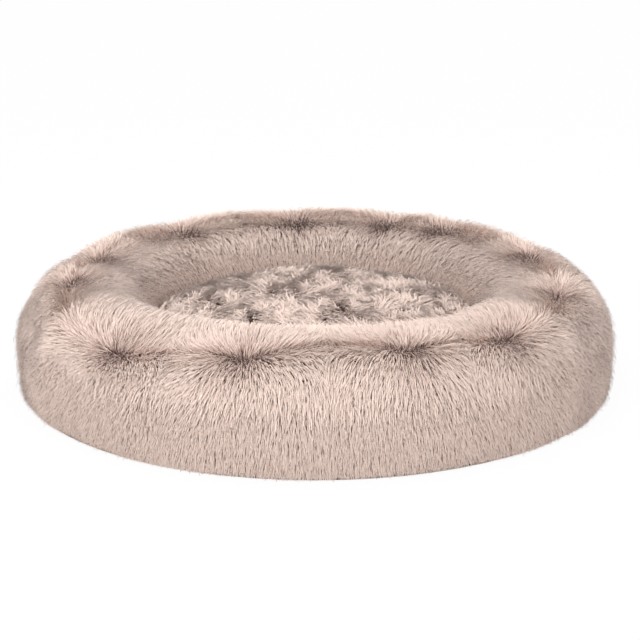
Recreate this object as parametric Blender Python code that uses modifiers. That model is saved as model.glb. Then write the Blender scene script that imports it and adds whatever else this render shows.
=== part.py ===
"""Donut pet bed: a stuffed, gathered ring round a plump centre cushion, in a furred cover with a zip.

Metres, with +Z up. The front is -Y, and the origin is the middle of the underside. Each turned piece is
drawn as an outline of (radius, height) points and turned about the bed's axis. The ring's cover and its
insert are then gathered: every point is drawn towards the ring's heart, most at the twelve gathers of the
top seam and at the sides, where the ring sags, and turned outwards about the heart where the cover has
rolled over its stuffing. So the layers keep their order and their clearances.
"""
import math

import bmesh
import bpy
from mathutils import Matrix, Vector

# The ring, over its fur
BED_RADIUS = 0.5715
BED_HEIGHT = 0.212
BULGE_HEIGHT = 0.075
FOOT_SET_IN = 0.0135
CREST_SET_IN = 0.0845
SEAM_SET_IN = 0.027
SEAM_SINK = 0.024
INNER_CREST_SET_IN = 0.060
INNER_CREST_DROP = 0.003
INNER_WALL_RUN = 0.090
CREVICE_HEIGHT = 0.100
WALL_ROUNDNESS = 2.0
SHOULDER_ROUNDNESS = 1.6

# The gathers of the top seam, each one a few degrees off its even place, as drawn up by hand
FIRST_GATHER = math.radians(15)
GATHER_SWAY_DEGREES = (3, 7, -6, -9.5, -5, -1, -9, 5, 1.5, 2.8, -5, -3)
GATHER_DEPTH = 0.010
GATHER_FOCUS = 6

# Where the cover has rolled outwards over its stuffing, how far, and how broadly, in degrees
COVER_ROLLS_DEGREES = ((-131, 32, 29), (-49, 16, 26))
ROLL_END = math.radians(80)
ROLL_SQUASH_SHARE = 0.25

# How far the ring sags at its left and right
SIDE_SAG_SHARE = 0.11
SAG_FOCUS = 3

# The centre cushion, over its fur
CUSHION_RISE = 0.065
CUSHION_ROUNDNESS = 2.2

# The cover
FUR_DEPTH = 0.020
BASE_THICKNESS = 0.003
BASE_SET_IN = 0.001
BASE_EDGE = 0.0008
TAPE_THICKNESS = 0.0008
GATHER_TAPE_WIDTH = 0.014
GATHER_TAPE_BITE = 0.008
CREVICE_TAPE_WIDTH = 0.020
SEAT_GAP = 0.0003
SEAM_GAP = 0.0007
SIDES = ("front", "right", "back", "left")
PANEL_COUNT = len(SIDES)

# The inserts
LAYER_GAP = 0.002
LINER_THICKNESS = 0.0012
FILL_GAP = 0.0005
SIDE_CLEARANCE = 0.002
SIDE_HEIGHT = 0.050
BOLSTER_SLIT_LENGTH = 0.250
CUSHION_SLIT_LENGTH = 0.200
SLIT_WIDTH = 0.002
CUT_OVERRUN = 0.004

# The zip
ZIP_SET_IN = 0.004
HEM_HEIGHT = 0.040
ZIP_END_MARGIN = 0.0097
ZIP_TAPE_TAIL = 0.020
ZIP_TAPE_THICKNESS = 0.0008
COIL_WIDTH = 0.0024
COIL_THICKNESS = 0.0026
STOP_LENGTH = 0.0025
STOP_PROUD = 0.0003

# The slider and its pull
SLIDER_LENGTH = 0.011
SLIDER_STOP_GAP = 0.0005
SLIDER_NECK = 0.0010
NECK_CLEARANCE = 0.0003
SLIDER_PLATE = 0.0012
PLATE_CLEARANCE = 0.0009
LIP_THICKNESS = 0.0009
LIP_CLEARANCE = 0.0004
BRIDGE_LENGTH = 0.0084
BRIDGE_WIDTH = 0.0030
BRIDGE_WALL = 0.0012
BRIDGE_OPENING = 0.0022
BRIDGE_CORNER = 0.0008
BRIDGE_ROOT = 0.0004
PULL_LENGTH = 0.0270
PULL_THICKNESS = 0.0014
PULL_RAIL = 0.0015
PULL_EYE_CLEARANCE = 0.0004
PULL_EYE_RUN = 0.0054
PULL_WAIST_WIDTH = 0.0050
PULL_END_WIDTH = 0.0064
PULL_CORNER = 0.0012

# How finely the pieces are cut
SECTORS = 72
ZIP_SECTORS = 40
FOOT_STEPS = 3
SHOULDER_STEPS = 4
LIP_STEPS = 2
INNER_WALL_STEPS = 4
CROWN_STEPS = 5
LINING_STEPS = 4
SHARP_ANGLE = math.radians(40)
MERGE_DISTANCE = 0.000005

# Directions, as angles about the bed's axis
FULL_TURN = 2 * math.pi
FRONT_ANGLE = math.radians(-90)

# Places that follow from the sizes
foot_radius = BED_RADIUS - FOOT_SET_IN
crest_radius = BED_RADIUS - CREST_SET_IN
seam_radius = crest_radius - SEAM_SET_IN
inner_crest_radius = seam_radius - INNER_CREST_SET_IN
crevice_radius = inner_crest_radius - INNER_WALL_RUN
seam_height = BED_HEIGHT - SEAM_SINK
inner_crest_height = BED_HEIGHT - INNER_CREST_DROP
cushion_height = CREVICE_HEIGHT + CUSHION_RISE
floor_height = BASE_THICKNESS + SEAT_GAP
seam_half_gap = TAPE_THICKNESS / 2 + SEAM_GAP
quarter_turn = FULL_TURN / PANEL_COUNT
first_seam_angle = FRONT_ANGLE - quarter_turn / 2
skin_depth = FUR_DEPTH + LAYER_GAP
gather_tape_foot = seam_height - FUR_DEPTH + GATHER_TAPE_BITE - GATHER_TAPE_WIDTH

# Where the gathers are, as angles about the bed's axis
gather_spacing = FULL_TURN / len(GATHER_SWAY_DEGREES)
gather_angles = [
    FIRST_GATHER + index * gather_spacing + math.radians(sway)
    for index, sway in enumerate(GATHER_SWAY_DEGREES)
]

# Places along and across the zip, from its own middle line
zip_radius = foot_radius - ZIP_SET_IN
zip_height = (floor_height + HEM_HEIGHT) / 2
coil_inner_edge = SLIDER_NECK / 2 + NECK_CLEARANCE
coil_outer_edge = coil_inner_edge + COIL_WIDTH
tape_edge = coil_outer_edge + SEAT_GAP
slider_face = COIL_THICKNESS / 2 + PLATE_CLEARANCE + SLIDER_PLATE
back_start = first_seam_angle + SIDES.index("back") * quarter_turn
zip_start = back_start + ZIP_END_MARGIN / zip_radius
zip_end = back_start + quarter_turn - ZIP_END_MARGIN / zip_radius
stop_turn = (ZIP_TAPE_TAIL + STOP_LENGTH / 2) / zip_radius
coil_turn = (ZIP_TAPE_TAIL + STOP_LENGTH + SEAT_GAP) / zip_radius
slider_turn = (ZIP_TAPE_TAIL + STOP_LENGTH + SLIDER_STOP_GAP + SLIDER_LENGTH / 2) / zip_radius
coil_start = zip_start + coil_turn
coil_end = zip_end - coil_turn
slider_rest = zip_start + slider_turn
slider_far = zip_end - slider_turn
pull_bar_reach = slider_face + BRIDGE_OPENING / 2

bed = bpy.data.collections.new("donut_pet_bed")
cutters = bpy.data.collections.new("donut_pet_bed_cutters")


def make_material(name, colour, roughness, metallic=0.0):
    """A plain finish for one kind of piece."""
    material = bpy.data.materials.new(name)
    material.use_nodes = True
    shader = material.node_tree.nodes["Principled BSDF"]
    shader.inputs["Base Color"].default_value = (*colour, 1.0)
    shader.inputs["Roughness"].default_value = roughness
    shader.inputs["Metallic"].default_value = metallic
    return material


def quarter_arc(start, end, upright_start, roundness, steps):
    """Points along a quarter of a superellipse, which is upright at one end and level at the other."""
    points = []
    for step in range(steps + 1):
        turn = math.pi / 2 * step / steps
        rise = math.sin(turn) ** (2 / roundness)
        run = 1 - max(0.0, math.cos(turn)) ** (2 / roundness)
        across, up = (run, rise) if upright_start else (rise, run)
        radius = start[0] + (end[0] - start[0]) * across
        height = start[1] + (end[1] - start[1]) * up
        points.append((radius, height))
    return points


def joined(*runs):
    """Runs of points end to end, each one starting where the last one ended."""
    line = list(runs[0])
    for run in runs[1:]:
        line.extend(run[1:])
    return line


def edge_normal(start, end):
    """The normal to the right of the way from start to end."""
    way = Vector(end) - Vector(start)
    return Vector((way.y, -way.x)).normalized()


def moved_in(line, depth, closed=False):
    """The line moved to its left by depth, with mitred corners."""
    moved = []
    count = len(line)
    for index, point in enumerate(line):
        before = line[index - 1] if index or closed else None
        after = line[(index + 1) % count] if index < count - 1 or closed else None
        first = edge_normal(before, point) if before else edge_normal(point, after)
        second = edge_normal(point, after) if after else edge_normal(before, point)
        normal = (first + second).normalized()
        mitre = depth / normal.dot(first)
        moved.append((point[0] - normal.x * mitre, point[1] - normal.y * mitre))
    return moved


def turn_between(start, end):
    """The turn from one angle to another, the short way round."""
    return (end - start + math.pi) % FULL_TURN - math.pi


def at_gather(angle):
    """One at a gather, and none from half an even spacing away from it."""
    away = min(abs(turn_between(gather, angle)) for gather in gather_angles)
    return math.cos(math.pi / 2 * min(1.0, 2 * away / gather_spacing)) ** 2


def cover_roll(angle):
    """How far the cover has rolled outwards at an angle about the bed's axis."""
    total = 0.0
    for place, amount, breadth in COVER_ROLLS_DEGREES:
        away = turn_between(math.radians(place), angle)
        total += math.radians(amount) * math.exp(-((away / math.radians(breadth)) ** 2))
    return total


def gathered(point):
    """Where the gathers, the sag and the rolls take a point, along and about its line to the heart."""
    radius = math.hypot(point.x, point.y)
    angle = math.atan2(point.y, point.x)
    arm = Vector((radius - seam_radius, point.z - BULGE_HEIGHT))
    upward = max(0.0, arm.normalized().y)
    depth_share = GATHER_DEPTH / (seam_height - BULGE_HEIGHT)
    drawn_share = depth_share * upward**GATHER_FOCUS * at_gather(angle)
    sagged_share = SIDE_SAG_SHARE * upward**SAG_FOCUS * math.cos(angle) ** 4
    lean = math.atan2(arm.x, arm.y)
    rolled = cover_roll(angle) * math.cos(math.pi / 2 * min(1.0, abs(lean) / ROLL_END)) ** 2
    reach = arm.length * (1 - drawn_share - sagged_share) * (1 - ROLL_SQUASH_SHARE * rolled)
    radius = seam_radius + reach * math.sin(lean + rolled)
    height = BULGE_HEIGHT + reach * math.cos(lean + rolled)
    return Vector((radius * math.cos(angle), radius * math.sin(angle), height))


def add_solid(name, mesh, material):
    """A piece of the bed with this mesh."""
    piece = bpy.data.objects.new(name, mesh)
    piece.data.materials.clear()
    piece.data.materials.append(material)
    bed.objects.link(piece)
    return piece


def evaluated_mesh(source):
    """The mesh that an object's modifiers or its curve give, in world space. The object is removed."""
    bpy.context.view_layer.update()
    finished = source.evaluated_get(bpy.context.evaluated_depsgraph_get())
    mesh = bpy.data.meshes.new_from_object(finished)
    mesh.transform(source.matrix_world)
    bpy.data.objects.remove(source)
    return mesh


def close_mesh(mesh, move=None):
    """Welds a mesh, caps its open ends, turns its faces out and, where asked, moves its points.

    Faces are split the same way in every layer before they are moved, so that the layers stay apart.
    """
    shape = bmesh.new()
    shape.from_mesh(mesh)
    bmesh.ops.remove_doubles(shape, verts=shape.verts[:], dist=MERGE_DISTANCE)
    bmesh.ops.holes_fill(shape, edges=shape.edges[:], sides=0)
    if move:
        bmesh.ops.triangulate(shape, faces=shape.faces[:], quad_method="FIXED")
        for vertex in shape.verts:
            vertex.co = move(vertex.co)
    bmesh.ops.recalc_face_normals(shape, faces=shape.faces[:])
    shape.to_mesh(mesh)
    shape.free()


def turned(
    name,
    line,
    material,
    closed=True,
    start=first_seam_angle,
    sweep=FULL_TURN,
    steps=SECTORS,
    move=None,
):
    """A piece whose outline is turned about the bed's axis, and then gathered where move is given."""
    outline = bpy.data.meshes.new(name)
    shape = bmesh.new()
    corners = [shape.verts.new((radius, 0.0, height)) for radius, height in line]
    ends = corners[1:] + corners[:1] if closed else corners[1:]
    for first, second in zip(corners, ends):
        shape.edges.new((first, second))
    shape.to_mesh(outline)
    shape.free()
    source = bpy.data.objects.new(name + "_outline", outline)
    source.rotation_euler.z = start
    bed.objects.link(source)
    screw = source.modifiers.new("Turn", "SCREW")
    screw.axis = "Z"
    screw.angle = sweep
    screw.steps = steps
    screw.render_steps = steps
    screw.use_merge_vertices = True
    screw.merge_threshold = MERGE_DISTANCE
    mesh = evaluated_mesh(source)
    close_mesh(mesh, move)
    mesh.shade_smooth()
    mesh.set_sharp_from_angle(angle=SHARP_ANGLE)
    return add_solid(name, mesh, material)


def plate_mesh(outlines, thickness, axes):
    """A flat outline, with any holes, as thick as asked. axes are where its X, Y and Z point."""
    curve = bpy.data.curves.new("plate", "CURVE")
    curve.dimensions = "2D"
    curve.fill_mode = "BOTH"
    curve.extrude = thickness / 2
    for outline in outlines:
        spline = curve.splines.new("POLY")
        spline.points.add(len(outline) - 1)
        for point, (across, up) in zip(spline.points, outline):
            point.co = (across, up, 0.0, 1.0)
        spline.use_cyclic_u = True
    source = bpy.data.objects.new("plate", curve)
    source.matrix_world = Matrix(axes).transposed().to_4x4()
    bed.objects.link(source)
    mesh = evaluated_mesh(source)
    close_mesh(mesh)
    return mesh


def keep_in(piece, collection):
    """Moves an object into one collection."""
    for other in list(piece.users_collection):
        other.objects.unlink(piece)
    collection.objects.link(piece)


def add_boolean(piece, tool, operation):
    """Cuts a piece with a tool, or joins the tool to it."""
    keep_in(tool, cutters)
    tool.hide_render = True
    tool.display_type = "WIRE"
    boolean = piece.modifiers.new(tool.name, "BOOLEAN")
    boolean.operation = operation
    boolean.solver = "EXACT"
    boolean.object = tool


def wall_line(start_height):
    """The outer fur's face, from its foot or its hem up to the gathered seam."""
    drop_share = (BULGE_HEIGHT - start_height) / (BULGE_HEIGHT - floor_height)
    reach_share = (1 - drop_share**WALL_ROUNDNESS) ** (1 / WALL_ROUNDNESS)
    start = (foot_radius + FOOT_SET_IN * reach_share, start_height)
    bulge = (BED_RADIUS, BULGE_HEIGHT)
    crest = (crest_radius, BED_HEIGHT)
    seam = (seam_radius + seam_half_gap, seam_height)
    if start_height > floor_height:
        lower = [start, bulge]
    else:
        lower = quarter_arc(start, bulge, False, WALL_ROUNDNESS, FOOT_STEPS)
    shoulder = quarter_arc(bulge, crest, True, SHOULDER_ROUNDNESS, SHOULDER_STEPS)
    lip = quarter_arc(crest, seam, False, WALL_ROUNDNESS, LIP_STEPS)
    return joined(lower, shoulder, lip)


def inner_wall_line():
    """The inner fur's face, from the gathered seam down into the crevice."""
    seam = (seam_radius - seam_half_gap, seam_height)
    crest = (inner_crest_radius, inner_crest_height)
    crevice = (crevice_radius + SEAT_GAP, CREVICE_HEIGHT)
    lip = quarter_arc(seam, crest, True, WALL_ROUNDNESS, LIP_STEPS)
    wall = quarter_arc(crest, crevice, False, WALL_ROUNDNESS, INNER_WALL_STEPS)
    return joined(lip, wall)


def crown_line(edge, top_height, steps):
    """A crowned top, from its drawn-in edge up to the axis."""
    return quarter_arc(edge, (0.0, top_height), True, CUSHION_ROUNDNESS, steps)


def strip_line(inner, outer, low, high):
    """The outline of a strip between two radii and two heights."""
    return [(outer, low), (outer, high), (inner, high), (inner, low)]


def turned_quarter(name, index, line, material, least_radius):
    """One quarter of a ring of fur, with half a seam's gap at each end."""
    seam_turn = SEAT_GAP / 2 / least_radius
    turned(
        name,
        line,
        material,
        start=first_seam_angle + index * quarter_turn + seam_turn,
        sweep=quarter_turn - 2 * seam_turn,
        steps=SECTORS // PANEL_COUNT,
        move=gathered,
    )


def make_outer_fur(material):
    """The outside of the ring's cover, in quarters. The back one ends higher, over the zip."""
    for index, side in enumerate(SIDES):
        foot = HEM_HEIGHT if side == "back" else floor_height
        face = wall_line(foot)
        backing = moved_in(face, FUR_DEPTH)
        backing[0] = (face[0][0] - FUR_DEPTH, foot)
        backing[-1] = (face[-1][0], seam_height - FUR_DEPTH)
        turned_quarter("outer_fur_" + side, index, face + backing[::-1], material, seam_radius)


def make_inner_fur(material):
    """The inside of the ring's cover, in quarters."""
    face = inner_wall_line()
    backing = moved_in(face, FUR_DEPTH)
    backing[0] = (face[0][0], seam_height - FUR_DEPTH)
    backing[-1] = (face[-1][0] + FUR_DEPTH, CREVICE_HEIGHT)
    for index, side in enumerate(SIDES):
        turned_quarter("inner_fur_" + side, index, face + backing[::-1], material, crevice_radius)


def make_centre_fur(material):
    """The round fur panel, crowned over the centre cushion."""
    edge_radius = crevice_radius - SEAT_GAP
    face = crown_line((edge_radius, CREVICE_HEIGHT), cushion_height, CROWN_STEPS)
    backing_edge = (edge_radius - FUR_DEPTH, CREVICE_HEIGHT)
    backing = crown_line(backing_edge, cushion_height - FUR_DEPTH, LINING_STEPS)
    turned("centre_fur", face[::-1] + backing, material, closed=False)


def make_base(material):
    """The round non-slip underside, with a rolled edge."""
    radius = foot_radius - BASE_SET_IN
    line = [
        (0.0, 0.0),
        (radius - BASE_EDGE, 0.0),
        (radius, BASE_EDGE),
        (radius, BASE_THICKNESS - BASE_EDGE),
        (radius - BASE_EDGE, BASE_THICKNESS),
        (0.0, BASE_THICKNESS),
    ]
    turned("base_panel", line, material, closed=False)


def make_seam_tapes(material):
    """The upright tape in the gathered seam, and the level one under the crevice."""
    half = TAPE_THICKNESS / 2
    top = gather_tape_foot + GATHER_TAPE_WIDTH
    line = strip_line(seam_radius - half, seam_radius + half, gather_tape_foot, top)
    turned("gather_tape", line, material, move=gathered)
    half_width = CREVICE_TAPE_WIDTH / 2
    top = CREVICE_HEIGHT - SEAT_GAP
    line = strip_line(crevice_radius - half_width, crevice_radius + half_width, top - TAPE_THICKNESS, top)
    turned("crevice_tape", line, material)


def bolster_line():
    """The ring insert's outline, a clearance inside the cover and the seam tapes."""
    outer = moved_in(wall_line(floor_height), skin_depth)
    inner = moved_in(inner_wall_line(), skin_depth)
    return [
        (foot_radius - skin_depth, floor_height),
        *outer[FOOT_STEPS:-LIP_STEPS],
        (seam_radius, gather_tape_foot - LAYER_GAP),
        *inner[LIP_STEPS:-1],
        (crevice_radius + skin_depth, CREVICE_HEIGHT),
        (crevice_radius + SIDE_CLEARANCE, SIDE_HEIGHT),
        (crevice_radius + skin_depth, floor_height),
    ]


def cushion_line():
    """The centre insert's outline, from the axis round its drawn-in side to the top of its crown."""
    edge = (crevice_radius - skin_depth, CREVICE_HEIGHT)
    lower = [
        (0.0, floor_height),
        (crevice_radius - skin_depth, floor_height),
        (crevice_radius - SIDE_CLEARANCE, SIDE_HEIGHT),
    ]
    return lower + crown_line(edge, cushion_height - skin_depth, LINING_STEPS)


def on_axis(line):
    """The line with both its ends put back on the bed's axis."""
    return [(0.0, line[0][1])] + line[1:-1] + [(0.0, line[-1][1])]


def make_insert(name, line, closed, slit_place, slit_length, liner_material, fill_material, move=None):
    """A stuffed insert: a lining bag with the slit it is stuffed through, and the fibre in it."""
    hollow_line = moved_in(line, LINER_THICKNESS, closed)
    fill_line = moved_in(line, LINER_THICKNESS + FILL_GAP, closed)
    if not closed:
        hollow_line = on_axis(hollow_line)
        fill_line = on_axis(fill_line)
    bag = turned(name + "_liner", line, liner_material, closed=closed, move=move)
    hollow = turned(name + "_hollow", hollow_line, liner_material, closed=closed, move=move)
    add_boolean(bag, hollow, "DIFFERENCE")
    bpy.ops.mesh.primitive_cube_add(size=1.0, location=(0.0, slit_place, floor_height))
    slit = bpy.context.object
    slit.name = name + "_slit"
    slit.scale = (slit_length, SLIT_WIDTH, 2 * LINER_THICKNESS + CUT_OVERRUN)
    add_boolean(bag, slit, "DIFFERENCE")
    turned(name + "_fill", fill_line, fill_material, closed=closed, move=move)


def make_zip_chain(tape_material, coil_material):
    """The two tapes, from the base and from the hem, and the coil along the edge of each."""
    half_tape = ZIP_TAPE_THICKNESS / 2
    half_coil = COIL_THICKNESS / 2
    tapes = {
        "lower": (floor_height, zip_height - tape_edge),
        "upper": (zip_height + tape_edge, HEM_HEIGHT - SEAT_GAP),
    }
    coils = {
        "lower": (zip_height - coil_outer_edge, zip_height - coil_inner_edge),
        "upper": (zip_height + coil_inner_edge, zip_height + coil_outer_edge),
    }
    for side, (low, high) in tapes.items():
        line = strip_line(zip_radius - half_tape, zip_radius + half_tape, low, high)
        sweep = zip_end - zip_start
        turned("zip_tape_" + side, line, tape_material, start=zip_start, sweep=sweep, steps=ZIP_SECTORS)
    for side, (low, high) in coils.items():
        line = strip_line(zip_radius - half_coil, zip_radius + half_coil, low, high)
        sweep = coil_end - coil_start
        turned("zip_coil_" + side, line, coil_material, start=coil_start, sweep=sweep, steps=ZIP_SECTORS)


def make_stop(name, angle, low, high, material):
    """A crimped metal stop on the zip's edge, between two heights from the zip's middle."""
    place = (zip_radius * math.cos(angle), zip_radius * math.sin(angle), zip_height + (low + high) / 2)
    bpy.ops.mesh.primitive_cube_add(size=1.0, location=place, rotation=(0.0, 0.0, angle + math.pi / 2))
    stop = bpy.context.object
    stop.name = name
    stop.data.name = name
    stop.data.transform(Matrix.Diagonal((STOP_LENGTH, COIL_THICKNESS + 2 * STOP_PROUD, high - low, 1.0)))
    stop.data.materials.append(material)
    keep_in(stop, bed)
    bevel = stop.modifiers.new("Crimped edges", "BEVEL")
    bevel.width = STOP_PROUD
    bevel.segments = 1


def make_stops(material):
    """Two stops where the zip closes, one on each tape, and one across both where it opens."""
    closed_angle = zip_start + stop_turn
    open_angle = zip_end - stop_turn
    make_stop("zip_top_stop_lower", closed_angle, -coil_outer_edge, -coil_inner_edge, material)
    make_stop("zip_top_stop_upper", closed_angle, coil_inner_edge, coil_outer_edge, material)
    make_stop("zip_bottom_stop", open_angle, -coil_outer_edge, coil_outer_edge, material)


def slider_outline():
    """The slider's section: two plates joined by a neck, with lips round each coil to its tape."""
    plate_face = COIL_THICKNESS / 2 + PLATE_CLEARANCE
    slot = ZIP_TAPE_THICKNESS / 2 + LIP_CLEARANCE
    lip = coil_outer_edge + LIP_CLEARANCE
    quadrant = [
        (plate_face, SLIDER_NECK / 2),
        (plate_face, lip),
        (slot, lip),
        (slot, lip + LIP_THICKNESS),
        (slider_face, lip + LIP_THICKNESS),
    ]
    outline = quadrant + [(out, -up) for out, up in quadrant[::-1]]
    return outline + [(-out, -up) for out, up in quadrant] + [(-out, up) for out, up in quadrant[::-1]]


def bridge_outline():
    """The arch on the slider's outer plate, seen along the zip's width."""
    end = BRIDGE_LENGTH / 2
    root = slider_face - BRIDGE_ROOT
    under = slider_face + BRIDGE_OPENING
    top = under + BRIDGE_WALL
    half = [
        (end - BRIDGE_WALL, under),
        (end - BRIDGE_WALL, root),
        (end, root),
        (end, top - BRIDGE_CORNER),
        (end - BRIDGE_CORNER, top),
    ]
    return half + [(-along, out) for along, out in half[::-1]]


def pull_outlines():
    """The pull tab, from its bar to its broad end, and the eye that clears the bridge."""
    bar = PULL_THICKNESS / 2
    eye = BRIDGE_WIDTH / 2 + PULL_EYE_CLEARANCE
    rail = eye + PULL_RAIL
    waist = PULL_EYE_RUN + PULL_RAIL + PULL_CORNER
    end = PULL_END_WIDTH / 2
    half = [
        (-bar, rail),
        (PULL_EYE_RUN + PULL_RAIL, rail),
        (waist + PULL_CORNER, PULL_WAIST_WIDTH / 2),
        (PULL_LENGTH - 2 * PULL_CORNER, end),
        (PULL_LENGTH - PULL_CORNER, end),
        (PULL_LENGTH, end - PULL_CORNER),
    ]
    tab = half + [(along, -up) for along, up in half[::-1]]
    hole = [(bar, eye), (PULL_EYE_RUN, eye), (PULL_EYE_RUN, -eye), (bar, -eye)]
    return tab, hole


def make_slider(material):
    """The slider at the closed end, carried by an empty on the bed's axis, and the pull on its bridge."""
    carrier = bpy.data.objects.new("zip_travel_axis", None)
    bed.objects.link(carrier)
    section_axes = ((0, -1, 0), (0, 0, 1), (-1, 0, 0))
    bridge_axes = ((1, 0, 0), (0, -1, 0), (0, 0, -1))
    pull_axes = ((1, 0, 0), (0, 0, 1), (0, -1, 0))
    body = plate_mesh([slider_outline()], SLIDER_LENGTH, section_axes)
    slider = add_solid("zip_slider", body, material)
    arch = plate_mesh([bridge_outline()], BRIDGE_WIDTH, bridge_axes)
    bridge = add_solid("zip_slider_bridge", arch, material)
    tab = plate_mesh(pull_outlines(), PULL_THICKNESS, pull_axes)
    pull = add_solid("zip_pull", tab, material)
    slider.parent = carrier
    slider.location = (zip_radius * math.cos(slider_rest), zip_radius * math.sin(slider_rest), zip_height)
    slider.rotation_euler.z = slider_rest + math.pi / 2
    bridge.parent = slider
    pull.parent = slider
    pull.location = (0.0, -pull_bar_reach, 0.0)
    add_boolean(slider, bridge, "UNION")


def main():
    """Makes the whole bed in its own collection."""
    for leftover in list(bpy.data.objects):
        bpy.data.objects.remove(leftover)
    bpy.context.scene.collection.children.link(bed)
    bpy.context.scene.collection.children.link(cutters)
    fur = make_material("fur", (0.66, 0.50, 0.43), 0.95)
    base_cloth = make_material("base_cloth", (0.30, 0.25, 0.23), 0.85)
    tape = make_material("seam_tape", (0.62, 0.50, 0.44), 0.9)
    liner = make_material("liner", (0.86, 0.85, 0.82), 0.9)
    fibre = make_material("fibre", (0.92, 0.92, 0.90), 1.0)
    zip_tape = make_material("zip_tape", (0.60, 0.47, 0.41), 0.85)
    nylon = make_material("zip_coil", (0.58, 0.45, 0.39), 0.4)
    metal = make_material("zip_metal", (0.55, 0.54, 0.52), 0.35, 1.0)
    make_outer_fur(fur)
    make_inner_fur(fur)
    make_centre_fur(fur)
    make_base(base_cloth)
    make_seam_tapes(tape)
    bolster_slit_place = (foot_radius + crevice_radius) / 2
    cushion_slit_place = crevice_radius / 2
    make_insert(
        "bolster", bolster_line(), True, bolster_slit_place, BOLSTER_SLIT_LENGTH, liner, fibre, gathered
    )
    make_insert("cushion", cushion_line(), False, cushion_slit_place, CUSHION_SLIT_LENGTH, liner, fibre)
    make_zip_chain(zip_tape, nylon)
    make_stops(metal)
    make_slider(metal)
    print("slider at rest, degrees:", round(math.degrees(slider_rest), 4))
    print("slider range, degrees:", round(math.degrees(slider_far - slider_rest), 4))
    print("pull bar radius:", round(zip_radius + pull_bar_reach, 6), "height:", round(zip_height, 6))


main()
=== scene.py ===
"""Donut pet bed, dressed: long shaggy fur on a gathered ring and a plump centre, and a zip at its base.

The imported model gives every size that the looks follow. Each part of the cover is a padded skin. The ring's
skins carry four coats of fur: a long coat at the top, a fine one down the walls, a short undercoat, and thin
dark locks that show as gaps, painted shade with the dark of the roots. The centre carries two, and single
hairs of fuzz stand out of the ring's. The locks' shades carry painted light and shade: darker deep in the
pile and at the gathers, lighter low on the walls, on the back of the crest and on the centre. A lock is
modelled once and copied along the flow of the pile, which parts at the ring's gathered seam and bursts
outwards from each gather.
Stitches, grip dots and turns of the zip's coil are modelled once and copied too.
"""
import math

import bpy
import numpy as np
from bpy.props import FloatProperty, FloatVectorProperty, IntProperty, PointerProperty
from bpy.types import Operator, Panel, PropertyGroup
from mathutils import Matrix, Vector


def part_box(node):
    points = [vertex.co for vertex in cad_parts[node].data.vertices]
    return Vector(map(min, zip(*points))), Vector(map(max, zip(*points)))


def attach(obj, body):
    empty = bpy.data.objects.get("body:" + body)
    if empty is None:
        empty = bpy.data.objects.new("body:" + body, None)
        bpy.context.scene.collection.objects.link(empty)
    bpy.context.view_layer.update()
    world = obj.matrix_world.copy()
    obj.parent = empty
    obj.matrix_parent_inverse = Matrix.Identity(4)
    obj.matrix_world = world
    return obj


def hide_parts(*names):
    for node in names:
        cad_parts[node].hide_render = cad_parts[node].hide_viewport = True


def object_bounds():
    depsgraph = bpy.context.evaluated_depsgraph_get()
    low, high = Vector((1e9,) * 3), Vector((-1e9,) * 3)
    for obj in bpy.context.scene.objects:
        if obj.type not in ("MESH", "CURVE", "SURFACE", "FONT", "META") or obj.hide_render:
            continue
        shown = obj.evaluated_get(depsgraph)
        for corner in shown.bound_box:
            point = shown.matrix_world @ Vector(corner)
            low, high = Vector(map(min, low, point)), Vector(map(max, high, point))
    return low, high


bl_info = {
    "name": "Donut Pet Bed",
    "version": (1, 0, 0),
    "blender": (4, 5, 0),
    "location": "View3D > Sidebar > Pet Bed",
    "description": "Adds a round pet bed with a gathered ring of long fur, a centre cushion and a zip",
    "category": "Add Mesh",
}

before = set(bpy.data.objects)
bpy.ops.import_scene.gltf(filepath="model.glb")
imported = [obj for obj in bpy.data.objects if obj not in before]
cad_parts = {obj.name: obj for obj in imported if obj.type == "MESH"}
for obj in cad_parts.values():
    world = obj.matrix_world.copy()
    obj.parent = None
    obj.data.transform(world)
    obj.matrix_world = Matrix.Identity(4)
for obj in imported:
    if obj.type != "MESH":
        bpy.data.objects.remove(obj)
CAD_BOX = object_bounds()
BODY = "bed"

# Directions, as angles about the bed's upright axis
FULL_TURN = 2 * math.pi
QUARTER_TURN = FULL_TURN / 4
SIDES = ("front", "right", "back", "left")
FRONT_ANGLE = -QUARTER_TURN
FIRST_SEAM_ANGLE = FRONT_ANGLE - QUARTER_TURN / 2

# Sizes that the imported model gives, in metres
BED_RADIUS = (CAD_BOX[1].x - CAD_BOX[0].x) / 2
BED_HEIGHT = CAD_BOX[1].z
SEAM_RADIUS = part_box("gather_tape")[1].y
CREVICE_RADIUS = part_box("centre_fur")[1].x
CUSHION_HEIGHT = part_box("centre_fur")[1].z
CREVICE_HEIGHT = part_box("centre_fur")[0].z
HEM_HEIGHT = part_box("outer_fur_back")[0].z
FOOT_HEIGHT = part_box("outer_fur_front")[0].z

# The skin under the ring's fur, as distances from the sizes above
PILE_DEPTH = 0.0150
BULGE_HEIGHT = 0.075
FOOT_SET_IN = 0.0075
CREST_SET_IN = 0.0260
INNER_CREST_SET_IN = 0.060
CREST_DROP_FRONT = 0.0200
CREST_DROP_BACK = 0.0090
INNER_CREST_DROP_FRONT = 0.0165
INNER_CREST_DROP_BACK = 0.0205
SEAM_DROP = 0.0215
CREVICE_FLANGE = 0.0150
CREVICE_LIP = 0.0050
FLANGE_GAP = 0.0010
SKIN_THICKNESS = 0.0025
WALL_ROUNDNESS = 2.0
SHOULDER_ROUNDNESS = 1.7
CUSHION_ROUNDNESS = 2.2

# The swells of the stuffing under the ring and the centre: how high, how long, and where they fade
SWELL_HEIGHT = 0.0022
SWELL_SIZE = 0.16
SWELL_FADE = 0.1
SWELL_SEED = 5
CROWN_SWELL_HEIGHT = 0.004
CROWN_SWELL_SIZE = 0.17
CROWN_SWELL_FADE = 0.08
CROWN_SWELL_SEED = 11
WAVE_COUNT = 9
WAVE_SHARE = 0.7
WAVE_STRETCHES = (0.7, 1.5)

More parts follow.
